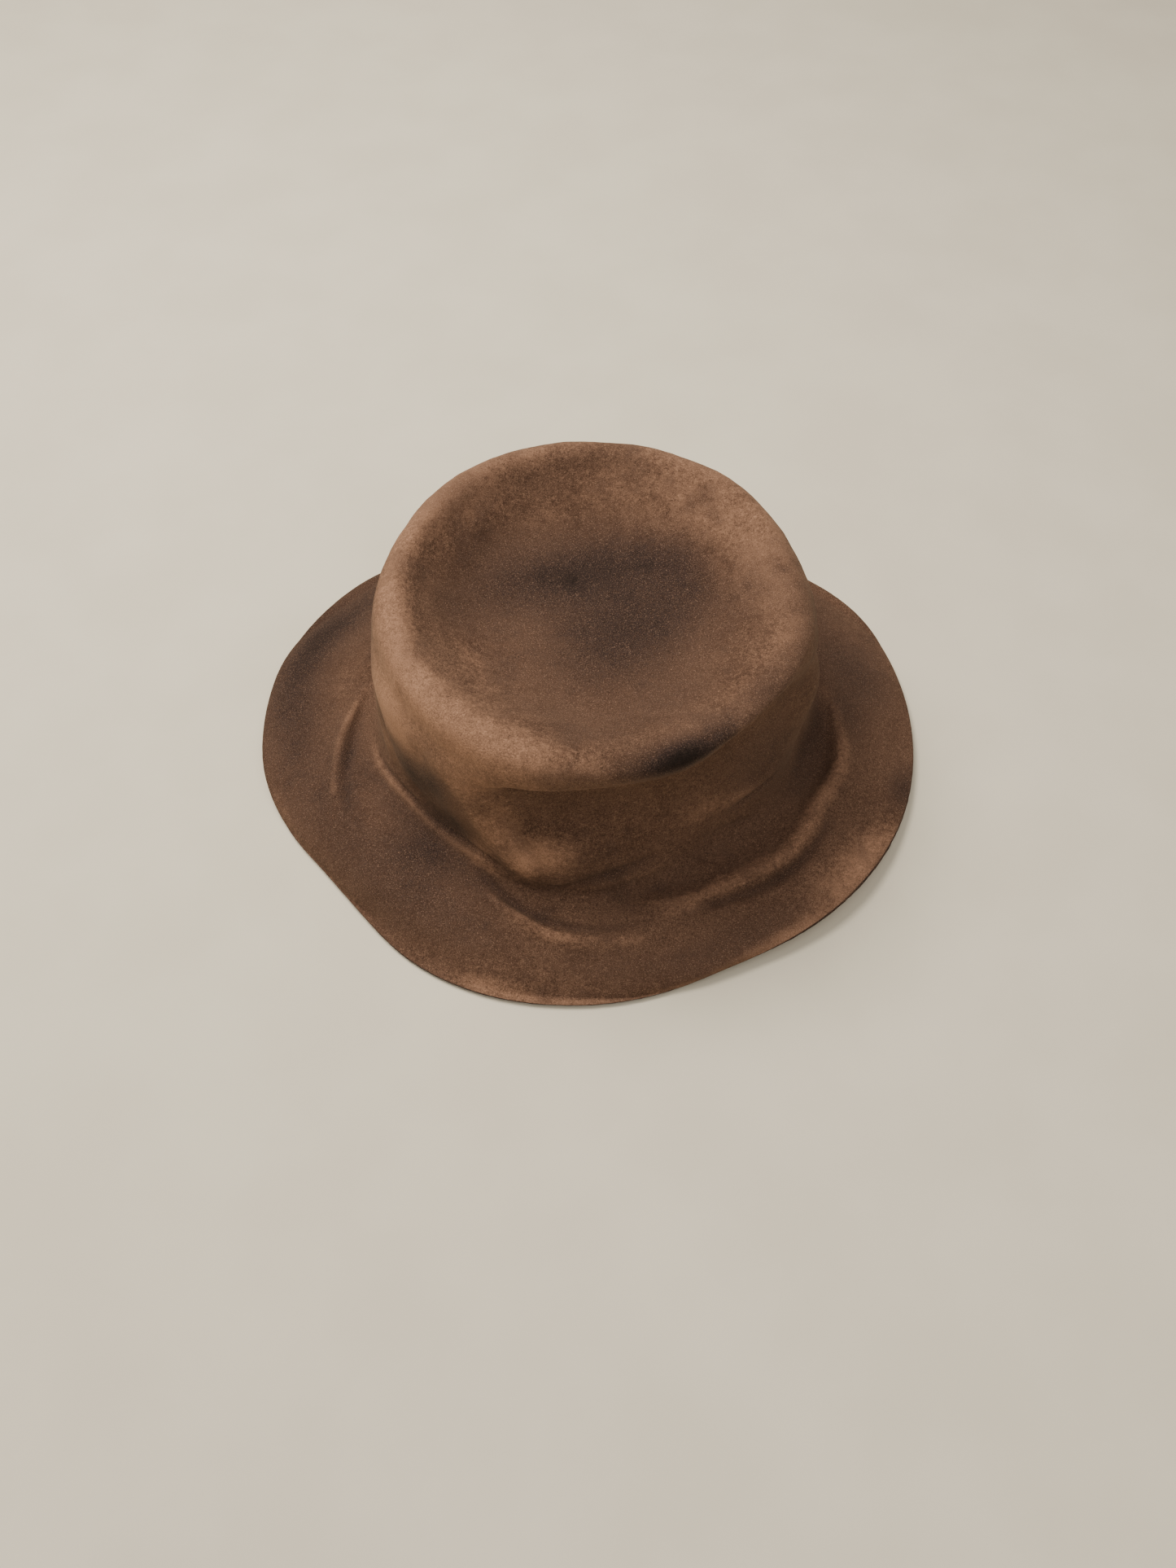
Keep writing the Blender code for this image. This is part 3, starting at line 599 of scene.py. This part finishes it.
def felt_material():
    """Brown wool felt: mottled, pored, smoked dark in patches and rubbed pale on what stands proud, with
    painted shade in the creases, under the lip and on the cut edge, and painted light on the left of the
    rim and wall.
    """
    felt = Shader("wool_felt", 0.95, 0.08, 0.10, (0.80, 0.56, 0.38))
    noise, step, mix, value, clamp = felt.noise, felt.step, felt.mix, felt.value, felt.clamp
    plus, times, less, swing = felt.plus, felt.times, felt.less, felt.swing
    cloud = noise(42, 4, 0.55)
    mottle = noise(9, 5, 0.65)
    grain = noise(2.0, 4, 0.7)
    pores = noise(0.75, 3, 0.65)
    fibre = noise(0.4, 2, 0.5)
    colour = mix(step(cloud, 0.36, 0.66), WOOL_DARK, WOOL_BROWN)
    colour = mix(times(step(mottle, 0.32, 0.70), 0.35), colour, WOOL_MOTTLE)
    colour = mix(step(grain, 0.46, 0.72), colour, WOOL_GRAIN)
    # rubbed nap and painted light, thin and broken up at its borders
    rubbed = value("rub")
    nap_and_light = plus(plus(rubbed, swing(grain, 0.9)), swing(mottle, 0.7))
    nap_and_light = clamp(times(nap_and_light, step(rubbed, 0.0, 0.25)), 0.0, 0.95)
    colour = mix(nap_and_light, colour, WOOL_RUBBED_AND_LIT)
    # smoke and painted shade that grey the felt, and soot and the deepest painted shade where they are
    # thickest, both broken up by the pores
    drift = times(step(noise(24, 4, 0.62), 0.50, 0.74), 0.30)
    stain_and_shade = plus(value("soot_and_shade"), drift)
    ragged = plus(swing(pores, 2.2), swing(grain, 1.3))
    smoke_and_shade = times(plus(stain_and_shade, times(ragged, 0.7)), step(stain_and_shade, 0.0, 0.18))
    smoke_and_shade = clamp(smoke_and_shade, 0.0, 0.92)
    colour = mix(smoke_and_shade, colour, SMOKE_AND_SHADE_TONE)
    soot_and_shade = step(plus(stain_and_shade, times(ragged, 0.4)), 0.80, 1.45)
    colour = mix(soot_and_shade, colour, SOOT_AND_SHADE_TONE)
    clear = less(1.0, soot_and_shade)
    # dark pores everywhere, closer together near the soot and painted shade, and fewer where the nap is
    # rubbed and light is painted
    patchy = plus(step(noise(17, 3), 0.36, 0.72), stain_and_shade)
    patchy = felt.math("MINIMUM", times(patchy, 0.75), 0.95)
    dots = times(step(pores, 0.56, 0.70), patchy)
    colour = mix(times(dots, less(1.0, times(nap_and_light, 0.3))), colour, PORE)
    hair = times(times(step(fibre, 0.54, 0.74), 0.26), clear)
    colour = mix(hair, colour, WOOL_HAIR)
    # fine speckle of the matted hairs, calmer where the nap is rubbed and light is painted, and harsher in
    # the smoke and painted shade
    calm = less(1.0, times(nap_and_light, 0.25))
    calm = plus(calm, times(times(smoke_and_shade, 0.6), clear))
    speckle = times(plus(swing(pores, 2.1), swing(fibre, 1.3)), calm)
    speckle = felt.math("MAXIMUM", plus(speckle, 1.04), 0.25)
    colour = mix(1.0, colour, speckle, "MULTIPLY")
    inside = mix(step(mottle, 0.3, 0.7), INSIDE_DARK, INSIDE_BROWN)
    colour = mix(value("inside"), colour, inside)
    normal = felt.bump(fibre, 0.22, 0.6)
    normal = felt.bump(plus(pores, grain), 0.34, 0.55, normal)
    return felt.finish(colour, normal)


def leather_material():
    """Sweatband leather: fine grain, darkened where the brow rests, rubbed at its edges."""
    leather = Shader("sweatband_leather", 0.5, 0.45)
    dark, pale = (0.125, 0.060, 0.030), (0.215, 0.110, 0.056)
    worn, stained = (0.36, 0.21, 0.115), (0.050, 0.027, 0.017)
    cloud = leather.noise(26, 4, 0.6)
    colour = leather.mix(leather.step(cloud, 0.3, 0.7), dark, pale)
    colour = leather.mix(leather.times(leather.value("sweat"), 0.75), colour, stained)
    colour = leather.mix(leather.times(leather.value("rub"), 0.6), colour, worn)
    creases = leather.noise(6, 3, 0.6, (1.0, 1.0, 3.0))
    normal = leather.bump(leather.cells(0.9), 0.16, 0.5)
    normal = leather.bump(leather.plus(leather.noise(0.7, 3), creases), 0.22, 0.35, normal)
    shine = leather.step(cloud, 0.2, 0.8)
    roughness = leather.node("MapRange", shine, 0.0, 1.0, 0.42, 0.66).outputs[0]
    return leather.finish(colour, normal, roughness)


def woven_material(name, dark, pale, pitch, roughness=0.8, sheen=0.15):
    """Woven tape, ribbon or label cloth: ribs and yarns that follow the piece's own lengths."""
    cloth = Shader(name, roughness, 0.25, sheen)
    around = cloth.math("SINE", cloth.times(cloth.value("around"), 2 * math.pi / pitch))
    across = cloth.math("SINE", cloth.times(cloth.value("across"), 2 * math.pi / pitch))
    weave = cloth.times(around, across)
    ribs = cloth.plus(cloth.times(weave, 0.5), cloth.times(around, 0.25))
    colour = cloth.mix(cloth.step(ribs, -0.8, 0.8), dark, pale)
    soiled, clean, trim_brown = (0.72, 0.70, 0.68), (1.0, 1.0, 1.0), (0.10, 0.055, 0.030)
    shade = cloth.mix(cloth.step(cloth.noise(7, 4, 0.6), 0.3, 0.75), soiled, clean)
    colour = cloth.mix(1.0, colour, shade, "MULTIPLY")
    colour = cloth.mix(cloth.times(cloth.value("trim"), 0.7), colour, trim_brown)
    normal = cloth.bump(ribs, 0.10, 0.5)
    normal = cloth.bump(cloth.noise(0.35, 2), 0.08, 0.4, normal)
    return cloth.finish(colour, normal)


def thread_material():
    """Waxed linen thread with a twist."""
    thread = Shader("waxed_thread", 0.6, 0.3, 0.1)
    dark, pale, groove = (0.20, 0.135, 0.082), (0.42, 0.31, 0.20), (0.13, 0.085, 0.05)
    fuzz = thread.noise(0.35, 3)
    twist = thread.node("TexWave", thread.place, bands_direction="DIAGONAL", Scale=1.1)
    slant = twist.outputs["Fac"]
    colour = thread.mix(thread.step(fuzz, 0.3, 0.7), dark, pale)
    colour = thread.mix(thread.times(slant, 0.35), colour, groove)
    return thread.finish(colour, thread.bump(thread.plus(slant, fuzz), 0.10, 0.6))


def reed_material():
    """Cloudy cream plastic cord."""
    reed = Shader("reed_plastic", 0.38, 0.5)
    dark, pale = (0.50, 0.45, 0.36), (0.66, 0.62, 0.53)
    colour = reed.mix(reed.step(reed.noise(5, 3), 0.3, 0.7), dark, pale)
    return reed.finish(colour, reed.bump(reed.noise(0.8, 3), 0.05, 0.3))


# ---- the felt

# points round the hat, and rows of points between each two rings
AROUND = 420
OUTER_STEPS = (5, 7, 8, 9, 10, 7, 10, 13, 13, 10, 8, 9, 9, 12, 12, 8)
INNER_STEPS = (2, 3, 4, 5, 5, 3, 5, 6, 6, 5, 5, 4, 4, 5, 5, 5)
# unevenness of the felt: height, width, octaves, seed
LUMPS = ((0.9, 46.0, 2, 1), (0.45, 17.0, 2, 2), (0.12, 5.0, 3, 3))


def station_rows(steps):
    """Stations of the rows of points, from the one next to the tip to the edge."""
    rows = [start + step / count for start, count in enumerate(steps) for step in range(count)]
    return np.array(rows[1:] + [EDGE])


def by_band(stations):
    """1 where the sweatband and its tape lie under the felt, fading to 0 beyond them."""
    return np.interp(stations, (7.3, 7.8, 11.5, 11.9), (0, 1, 1, 0))


def outer_rows(bearings):
    """The felt's outer face with its folds and lumps, and how far each point was lifted."""
    stations = station_rows(OUTER_STEPS)
    plain = face_grid(bearings, stations)
    shallower = (CREASE_LIMIT_OVER_BAND - CREASE_LIMIT) * by_band(stations)[:, None]
    folds = np.maximum(fold_heights(plain), CREASE_LIMIT + shallower)
    soft = sum(height * lumps(plain, *kind) for height, *kind in LUMPS)
    quiet = np.interp(stations, (EDGE - 1.2, EDGE - 0.3), (1, 0.25))[:, None]
    rows = plain + grid_normals(plain) * (folds + soft * quiet)[..., None]
    rows[..., 2] = np.maximum(rows[..., 2], FELT)
    return plain, rows, folds


def inner_rows(bearings):
    """The inside of the felt: the same folds, softened, and calm where the sweatband lies on it."""
    stations = station_rows(INNER_STEPS)
    plain = face_grid(bearings, stations)
    lift = 0.8 * fold_heights(plain) + 0.7 * lumps(plain, 46.0, 2, 1)
    lift *= (1 - 0.92 * by_band(stations))[:, None]
    rows = plain + grid_normals(plain) * (lift - FELT)[..., None]
    rows[..., 2] = np.maximum(rows[..., 2], 0.0)
    return rows


def edge_rows(last_outer, last_inner, outer_row):
    """The cut edge of the brim: half round, slightly ragged."""
    middle = (last_outer + last_inner) / 2
    across = (last_outer - last_inner) / 2
    out = unit(last_outer - outer_row)
    ragged = 1.0 + 0.22 * lumps(last_outer, 2.4, 3, 7)
    rows = []
    for turn in np.radians((60, 25, -10, -45)):
        bulge = EDGE_BULGE * math.cos(turn) * ragged[:, None]
        row = middle + across * math.sin(turn) + out * bulge
        row[:, 2] = np.maximum(row[:, 2], 0.0)
        rows.append(row)
    return np.stack(rows)


def make_felt():
    """Crown and brim in one closed piece: outer face, cut edge and inside."""
    bearings = np.arange(AROUND) * 360.0 / AROUND
    plain, outer, folds = outer_rows(bearings)
    inner = inner_rows(bearings)
    edge = edge_rows(outer[-1], inner[-1], outer[-3])
    rows = np.concatenate([outer, edge, inner[::-1]])
    # welts add to the rubbed nap and creases get painted shade; the rubbed nap also carries painted light
    # on the left of the rim and wall
    rub = patches(plain, RUBS_AND_LIGHT) + np.clip(folds, 0, 2) * FOLD_WEAR_AND_SHADE
    soot_and_shade = patches(plain, STAINS_AND_SHADE) + np.clip(-folds, 0, 2) * FOLD_WEAR_AND_SHADE
    # the cut edge is painted dark for the shade on it
    painted_edge_shade = 0.9 + 0.5 * lumps(edge, 14.0, 2, 5)
    clean = np.zeros(inner.shape[:2])
    rub = np.concatenate([rub, 0 * painted_edge_shade, clean])
    soot_and_shade = np.concatenate([soot_and_shade, painted_edge_shade, clean])
    inside = np.concatenate([np.zeros(outer.shape[:2]), 0 * painted_edge_shade, clean + 1])
    tips = [outer[0].mean(axis=0), inner[0].mean(axis=0)]
    points = np.concatenate([rows.reshape(-1, 3), tips])
    faces = ring_faces(len(rows), AROUND)
    last = (len(rows) - 1) * AROUND
    for index in range(AROUND):
        after = (index + 1) % AROUND
        faces.append((len(points) - 2, index, after))
        faces.append((len(points) - 1, last + after, last + index))
    values = {
        "rub": np.append(rub.ravel(), (rub[0].mean(), 0)),
        "soot_and_shade": np.append(soot_and_shade.ravel(), (soot_and_shade[0].mean(), 0)),
        "inside": np.append(inside.ravel(), (0, 1)),
    }
    piece = face_out(add_mesh("felt_hat", points, faces, felt_material(), values))
    install(piece, "hat", "felt_body")


# ---- inside the hat

def strip_bearings(gap, count=360):
    """All round from just past the back seam to just short of it."""
    return np.linspace(BACK + gap, BACK + 360.0 - gap, count)


def path_lengths(path):
    """Length along a path up to each of its points."""
    return np.append(0, np.cumsum(np.linalg.norm(np.diff(path, axis=0), axis=-1)))


def strip_lengths(sections):
    """Lengths along and across a strip at each of its points, for the weave."""
    along, across = path_lengths(sections[:, 0]), path_lengths(sections[0])
    return np.repeat(along, len(across)), np.tile(across, len(along))


def make_strip(name, node, sections, material, values=None, body="hat"):
    """A lofted strip that knows its lengths along and across."""
    sections = np.array(sections)
    around, across = strip_lengths(sections)
    values = {"around": around, "across": across, **(values or {})}
    faces = loft_faces(*sections.shape[:2])
    piece = add_mesh(name, sections.reshape(-1, 3), faces, material, values)
    install(face_out(piece), body, node)


def make_sweatband():
    """Leather band: rolled edges, an embossed line under the top edge and soft ripples from wear."""
    bearings = strip_bearings(SEAM_GAP)
    up = along_wall(bearings, 9.0)
    wave = 0.6 * lumps(below_face(bearings, BAND_TOP, 0), 28.0, 2, 11)[:, None]
    rows = []
    for station in np.linspace(BAND_FOOT, BAND_TOP, 9):
        lift = wave * np.interp(station, (BAND_TOP, 8.6), (1, 0))
        rows.append((below_face(bearings, station, BAND_DEPTH) + up * lift, 0.2, 0.0))
    for part in (0.2, 0.5, 0.8):
        rise = wave + 0.35 * math.sin(math.pi * part)
        depth = BAND_DEPTH + part * BAND_LEATHER
        rows.append((below_face(bearings, BAND_TOP, depth) + up * rise, 0.2, 1.0))
    for station in np.linspace(BAND_TOP, BAND_FOOT, 34):
        lift = wave * np.interp(station, (BAND_TOP, 8.6), (1, 0))
        calm = np.interp(station, (8.05, 8.25, 9.7, 10.05), (0, 1, 1, 0))
        plain = below_face(bearings, station, BAND_FACE)
        ripple = 0.28 * lumps(plain, 14.0, 3, 12) * calm
        groove = -0.22 * bell(station, 8.22, 0.035) - 0.16 * bell(station, STITCH_STATION, 0.03)
        points = plain + inward(bearings, station) * (ripple + groove)[:, None] + up * lift
        sweat = 0.35 + 0.65 * bell(station, 9.4, 0.5)
        worn = max(0.0, 1 - abs(station - BAND_TOP) / 0.12, 1 - abs(station - BAND_FOOT) / 0.1)
        rows.append((points, sweat, worn))
    rows.append((below_face(bearings, BAND_FOOT + 0.02, BAND_FACE - BAND_LEATHER / 2), 0.2, 1.0))
    outline, sweat, rub = zip(*rows)
    brow = 0.55 + 0.45 * np.cos(np.radians(bearings)) ** 2
    values = {"sweat": brow[:, None] * np.array(sweat), "rub": np.tile(rub, len(bearings))}
    sections = np.stack(outline, axis=1)
    make_strip("leather_sweatband", "sweatband", sections, leather_material(), values)


def round_reed(bearings, radius, turns):
    """Rows of points round the reed's middle line, one for each turn in radians."""
    middle = below_face(bearings, REED_STATION, REED_DEPTH)
    up = along_wall(bearings, REED_STATION)
    inside = inward(bearings, REED_STATION)
    return [middle + radius * (math.cos(t) * inside + math.sin(t) * up) for t in turns]


def make_reed():
    """Plastic cord with its two ends rounded off where they butt at the back."""
    bearings = strip_bearings(REED_BUTT)
    ends = np.minimum(np.arange(len(bearings)), np.arange(len(bearings))[::-1])
    radius = (REED_RADIUS * np.array((0.62, 0.9, 1.0))[np.minimum(ends, 2)])[:, None]
    sections = np.stack(round_reed(bearings, radius, np.radians(np.arange(0, 360, 30))), axis=1)
    make_strip("springy_reed", "sweatband_reed", sections, reed_material())


def make_reed_tape(cloth):
    """Woven tape wrapped round the reed, its tail between the band and the felt."""
    bearings = strip_bearings(SEAM_GAP, 460)
    ribs = 0.05 * np.sin(np.arange(len(bearings)) * math.pi / 1.5)[:, None]
    wrap = REED_RADIUS + CLEAR
    tail = np.linspace(*TAIL_STATIONS, 6)
    turns = np.radians(np.arange(180, 431, 18))
    outline = [below_face(bearings, station, FELT + CLEAR) for station in tail]
    outline += round_reed(bearings, wrap + TAPE + ribs, turns)
    outline += round_reed(bearings, wrap, turns[::-1])
    outline += [below_face(bearings, station, FELT + CLEAR + TAPE) for station in tail[::-1]]
    make_strip("woven_reed_tape", "reed_tape", np.stack(outline, axis=1), cloth)


def make_seam_backing(cloth):
    """Cloth strip behind the back seam, its sides a little frayed."""
    bearings = BACK + np.linspace(-3.6, 3.6, 25)
    stations = np.linspace(8.15, 9.6, 17)
    fray = 0.12 * np.sin(7.3 * np.arange(len(stations)))
    depth = FELT + CLEAR
    outer, inner = [], []
    for station, pull in zip(stations, fray):
        spread = BACK + (bearings - BACK) * (1 + 0.05 * pull)
        outer.append(below_face(spread, station, depth))
        inner.append(below_face(spread, station, depth + 0.3))
    sections = np.stack(outer + inner[::-1], axis=1)
    make_strip("seam_backing_cloth", "seam_backing", sections, cloth)


# how far along a stitch, and how far out of the cloth
STITCH_SHAPE = ((0.0, -0.9), (0.07, 0.1), (0.2, 0.75), (0.5, 1.0), (0.8, 0.75), (0.93, 0.1), (1.0, -0.9))


def stitch(start, end, out, height):
    """One stitch: out of the cloth, along it and back in."""
    return np.array([start + part * (end - start) + out * rise * height for part, rise in STITCH_SHAPE])


def make_tape_stitching(thread):
    """Machine stitches along the band's foot, each a little askew."""
    length, gap = 3.2, 0.12
    seam = below_face(strip_bearings(0), STITCH_STATION, 4.0)
    count = int(path_lengths(seam)[-1] / length)
    ends = np.linspace(BACK + 0.6, BACK + 359.4, count + 1)
    middles = (ends[:-1] + ends[1:]) / 2
    starts = below_face(ends[:-1] + gap, STITCH_STATION, BAND_FACE - 0.12)
    stops = below_face(ends[1:] - gap, STITCH_STATION, BAND_FACE - 0.12)
    outs = inward(middles, STITCH_STATION)
    ups = along_wall(middles, STITCH_STATION)
    paths = []
    for index, (start, end, out, up) in enumerate(zip(starts, stops, outs, ups)):
        askew = up * (0.16 + 0.05 * math.sin(2.7 * index))
        paths.append(stitch(start - askew, end + askew, out, 0.3))
    sew("lockstitches", "tape_stitching", paths, 0.24, thread, 5)


def make_felling_stitches(thread):
    """Hand stitches that hold the folded tape to the felt, and the thread that runs between them."""
    count, sweep = 55, 354.0
    bearings = BACK + 3.0 + np.arange(count) * sweep / count
    felt_ends = below_face(bearings, 11.62, FELT + 0.05)
    tape_ends = below_face(bearings + 2.6, 11.16, FELT + 1.25)
    next_ends = below_face(bearings + sweep / count - 0.3, 11.58, FELT + 0.05)
    outs = inward(bearings + 1.3, 11.4)
    paths = []
    for start, middle, end, out in zip(felt_ends, tape_ends, next_ends, outs):
        over = (start + middle) / 2 + out * 0.55
        under = (middle + end) / 2 + out * 0.25
        paths.append(smooth_path([start, over, middle + out * 0.15, middle - out * 0.5], 3))
        paths.append(smooth_path([middle + out * 0.1, under, end], 3))
    sew("felling_stitches", "felling_thread", paths, 0.25, thread)


def make_seam_stitches(thread):
    """Zigzag that closes the band's butted ends at the back."""
    ends = []
    for index, station in enumerate(np.arange(8.4, 9.4, 0.08)):
        side = 2.0 * (index % 2) - 1.0
        ends.append(at_back(station, BAND_FACE + 0.05, side)[0])
    out = at_back(9.0)[2]
    paths = [stitch(start, end, out, 0.42) for start, end in zip(ends, ends[1:])]
    sew("seam_zigzag", "seam_thread", paths, 0.23, thread)


def ribbon_sections(path, rise, halves, thickness):
    """Cross-sections of a ribbon along a path; halves are its half widths, across the path."""
    face = unit(np.cross(unit(np.gradient(path, axis=0)), rise))
    rows = np.linspace(-1, 1, 9)
    sections = []
    for point, normal, half in zip(path, face, halves):
        front = [point + rise * half * row + normal * thickness * 0.5 for row in rows]
        back = [point + rise * half * row - normal * thickness * 0.5 for row in rows[::-1]]
        sections.append(front + back)
    return np.array(sections)


# the bow: reach and offset of a loop, its half widths, reach, drop and offset of a tail, the knot
BOW_LOOP = ((0.0, 0.25), (2.0, 0.42), (4.5, 0.75), (7.0, 0.72), (8.3, 0.35), (8.55, 0.0),
            (8.3, -0.35), (7.0, -0.62), (4.5, -0.55), (2.0, -0.38), (0.0, -0.25))
BOW_WIDTHS = (1.2, 1.5, 2.6, 3.2, 3.4, 3.4, 3.4, 3.1, 2.5, 1.5, 1.2)
BOW_TAIL = ((0.8, 0.0, 0.3), (2.6, -1.4, 0.55), (4.4, -3.2, 0.45), (6.0, -5.0, 0.15))
BOW_KNOT = ((-1.5, -0.1), (-1.3, 0.12), (-0.5, 0.22), (0.0, 0.12), (0.6, 0.22), (1.3, 0.12), (1.5, -0.1))


def make_bow():
    """Ribbon bow over the foot of the back seam: two loops, two tails and the turn that binds them."""
    middle, up, out = at_back(BOW_STATION, BAND_FACE + 2.0)
    across = unit(np.cross(up, out))
    parts = []
    for side in (-1.0, 1.0):
        loop = [middle + across * side * reach + out * away for reach, away in BOW_LOOP]
        path = smooth_path(loop, 3)
        halves = np.interp(np.linspace(0, 10, len(path)), np.arange(11), BOW_WIDTHS)
        parts.append(ribbon_sections(path, up, halves, 0.22))
        tail = [middle + across * side * reach + up * drop - out * away for reach, drop, away in BOW_TAIL]
        path = smooth_path(tail, 4)
        slant = unit(across * -side * 0.75 - up * 0.66)
        parts.append(ribbon_sections(path, slant, np.linspace(1.1, 2.2, len(path)), 0.2))
    knot = []
    for turn in np.radians(np.arange(0, 361, 24)):
        ring = middle + up * 1.9 * math.sin(turn) + out * 0.95 * math.cos(turn)
        lift = unit(up * math.sin(turn) + out * math.cos(turn))
        knot.append([ring + across * reach + lift * height for reach, height in BOW_KNOT])
    parts.append(np.array(knot))
    points, faces, lengths = [], [], []
    for sections in parts:
        faces += loft_faces(*sections.shape[:2], len(points))
        points += list(sections.reshape(-1, 3))
        lengths.append(strip_lengths(sections))
    around, across = np.concatenate(lengths, axis=1)
    ribbon = woven_material("bow_ribbon", (0.020, 0.014, 0.012), (0.060, 0.042, 0.034), 0.55, 0.55, 0.3)
    piece = add_mesh("ribbon_bow", points, faces, ribbon, {"around": around, "across": across})
    install(face_out(piece), "hat", "sweatband_bow")


LABEL_WIDTH = 20.0
LABEL_DROP = 20.0


def label_axis():
    """Middle of the care label's sewn top edge."""
    return at_back(LABEL_STATION, BAND_FACE + 2.5)[0]


def label_profile():
    """Outline of the folded label from the side, as thickness and height below its top edge."""
    front = [(0.22, -0.25), (0.30, -0.8), (0.24, -2.0), (0.22, -5.0)]
    front += [(0.22, -height) for height in np.linspace(7, LABEL_DROP - 2, 12)]
    front += [(0.24, 0.7 - LABEL_DROP), (0.14, 0.15 - LABEL_DROP)]
    behind = [(-thick, height) for thick, height in reversed(front)]
    return np.array([(0.0, 0.0)] + front + [(0.0, -LABEL_DROP)] + behind)


def make_care_label():
    """Blank woven label folded double, sewn along its top edge, a little curled at its foot."""
    thick, height = label_profile().T
    low = (height / LABEL_DROP) ** 2
    hems = bell(height, 3.4 - LABEL_DROP, 0.28) + bell(height, -4.0, 0.28)
    axis = label_axis()
    sections, around, across, trim = [], [], [], []
    for place in np.linspace(-LABEL_WIDTH / 2, LABEL_WIDTH / 2, 41):
        to_side = LABEL_WIDTH / 2 - abs(place)
        thicker = 1.18 if to_side < 1.1 else 1.0
        curl = low * (0.55 * (place / 10) ** 2 - 0.25) + 0.10 * low * math.sin(place * 0.7)
        width = np.full(len(height), place)
        section = [thick * thicker + curl, width, height + 0.12 * low * place / 10]
        sections.append(axis + np.stack(section, axis=1))
        around.append(width)
        across.append(height)
        trim.append(np.clip(hems + bell(to_side, 1.2, 0.3), 0, 1) * (to_side > 0.7))
    cloth = woven_material("label_cloth", (0.42, 0.385, 0.30), (0.70, 0.66, 0.56), 0.62, 0.75, 0.1)
    values = {"around": around, "across": across, "trim": trim}
    make_strip("blank_label", "care_label", sections, cloth, values, "label")


def make_label_stitches(thread):
    """Small stitches from the sweatband to the label's folded top edge."""
    axis = label_axis()
    paths = []
    for place in np.linspace(-9.0, 9.0, 12):
        lean = place + 0.25 * math.sin(place * 2.1)
        path = ((-2.45, place + 0.5, 1.2), (-1.9, place + 0.45, 1.75), (-1.0, lean + 0.2, 1.55),
                (-0.3, lean, 0.75), (-0.05, lean, 0.12))
        paths.append(smooth_path(axis + np.array(path), 3))
    sew("label_tacking", "label_stitches", paths, 0.2, thread)


# ---- the stage

def aim_at(made, place, target):
    made.location = place
    made.rotation_euler = (Vector(target) - made.location).to_track_quat("-Z", "Y").to_euler()


def area_light(name, place, target, size, power, colour):
    lamp = bpy.data.lights.new(name, "AREA")
    lamp.shape = "DISK"
    lamp.size = size
    lamp.energy = power
    lamp.color = colour
    aim_at(add_object(name, lamp), place, target)


def make_stage():
    """Plain pale floor, a soft window light from the far left and a soft light of the room."""
    floor = Shader("floor_paint", 0.8, 0.2)
    tone = floor.mix(floor.step(floor.noise(60, 4), 0.3, 0.7), (0.735, 0.665, 0.535), (0.775, 0.705, 0.57))
    mesh = bpy.data.meshes.new("floor")
    reach = 3.0
    mesh.from_pydata([(-reach, -reach, 0), (reach, -reach, 0), (reach, reach, 0), (-reach, reach, 0)],
                     [], [(0, 1, 2, 3)])
    mesh.materials.append(floor.finish(tone, floor.bump(floor.noise(3.0, 4), 0.15, 0.25)))
    ground = add_object("floor", mesh)
    ground.location.z = -0.0003
    area_light("window", (-0.50, 0.40, 1.15), (0, 0, 0.05), 0.8, 22, (1.0, 0.94, 0.84))
    area_light("room", (0.35, -0.5, 1.3), (0, 0, 0.03), 1.6, 8, (1.0, 0.95, 0.88))
    world = bpy.data.worlds.new("soft_room")
    world.use_nodes = True
    background = world.node_tree.nodes["Background"]
    background.inputs["Color"].default_value = (1.0, 0.96, 0.88, 1)
    background.inputs["Strength"].default_value = 0.3
    bpy.context.scene.world = world


def make_camera():
    """Looks down on the side of the hat at -Y, about 56 degrees above its brim."""
    view = bpy.data.cameras.new("camera")
    view.lens = 28.0
    view.sensor_width = 36.0
    view.clip_start = 0.02
    made = add_object("camera", view)
    aim_at(made, (-0.0006, -0.3294, 0.4943), (-0.0006, -0.0227, 0.0))
    bpy.context.scene.camera = made


make_camera()
make_stage()
make_felt()
tape_cloth = woven_material("tape_cloth", (0.030, 0.022, 0.015), (0.105, 0.080, 0.056), 0.9)
sewing_thread = thread_material()
make_sweatband()
make_reed()
make_reed_tape(tape_cloth)
make_seam_backing(tape_cloth)
make_tape_stitching(sewing_thread)
make_felling_stitches(sewing_thread)
make_seam_stitches(sewing_thread)
make_bow()
make_care_label()
make_label_stitches(sewing_thread)
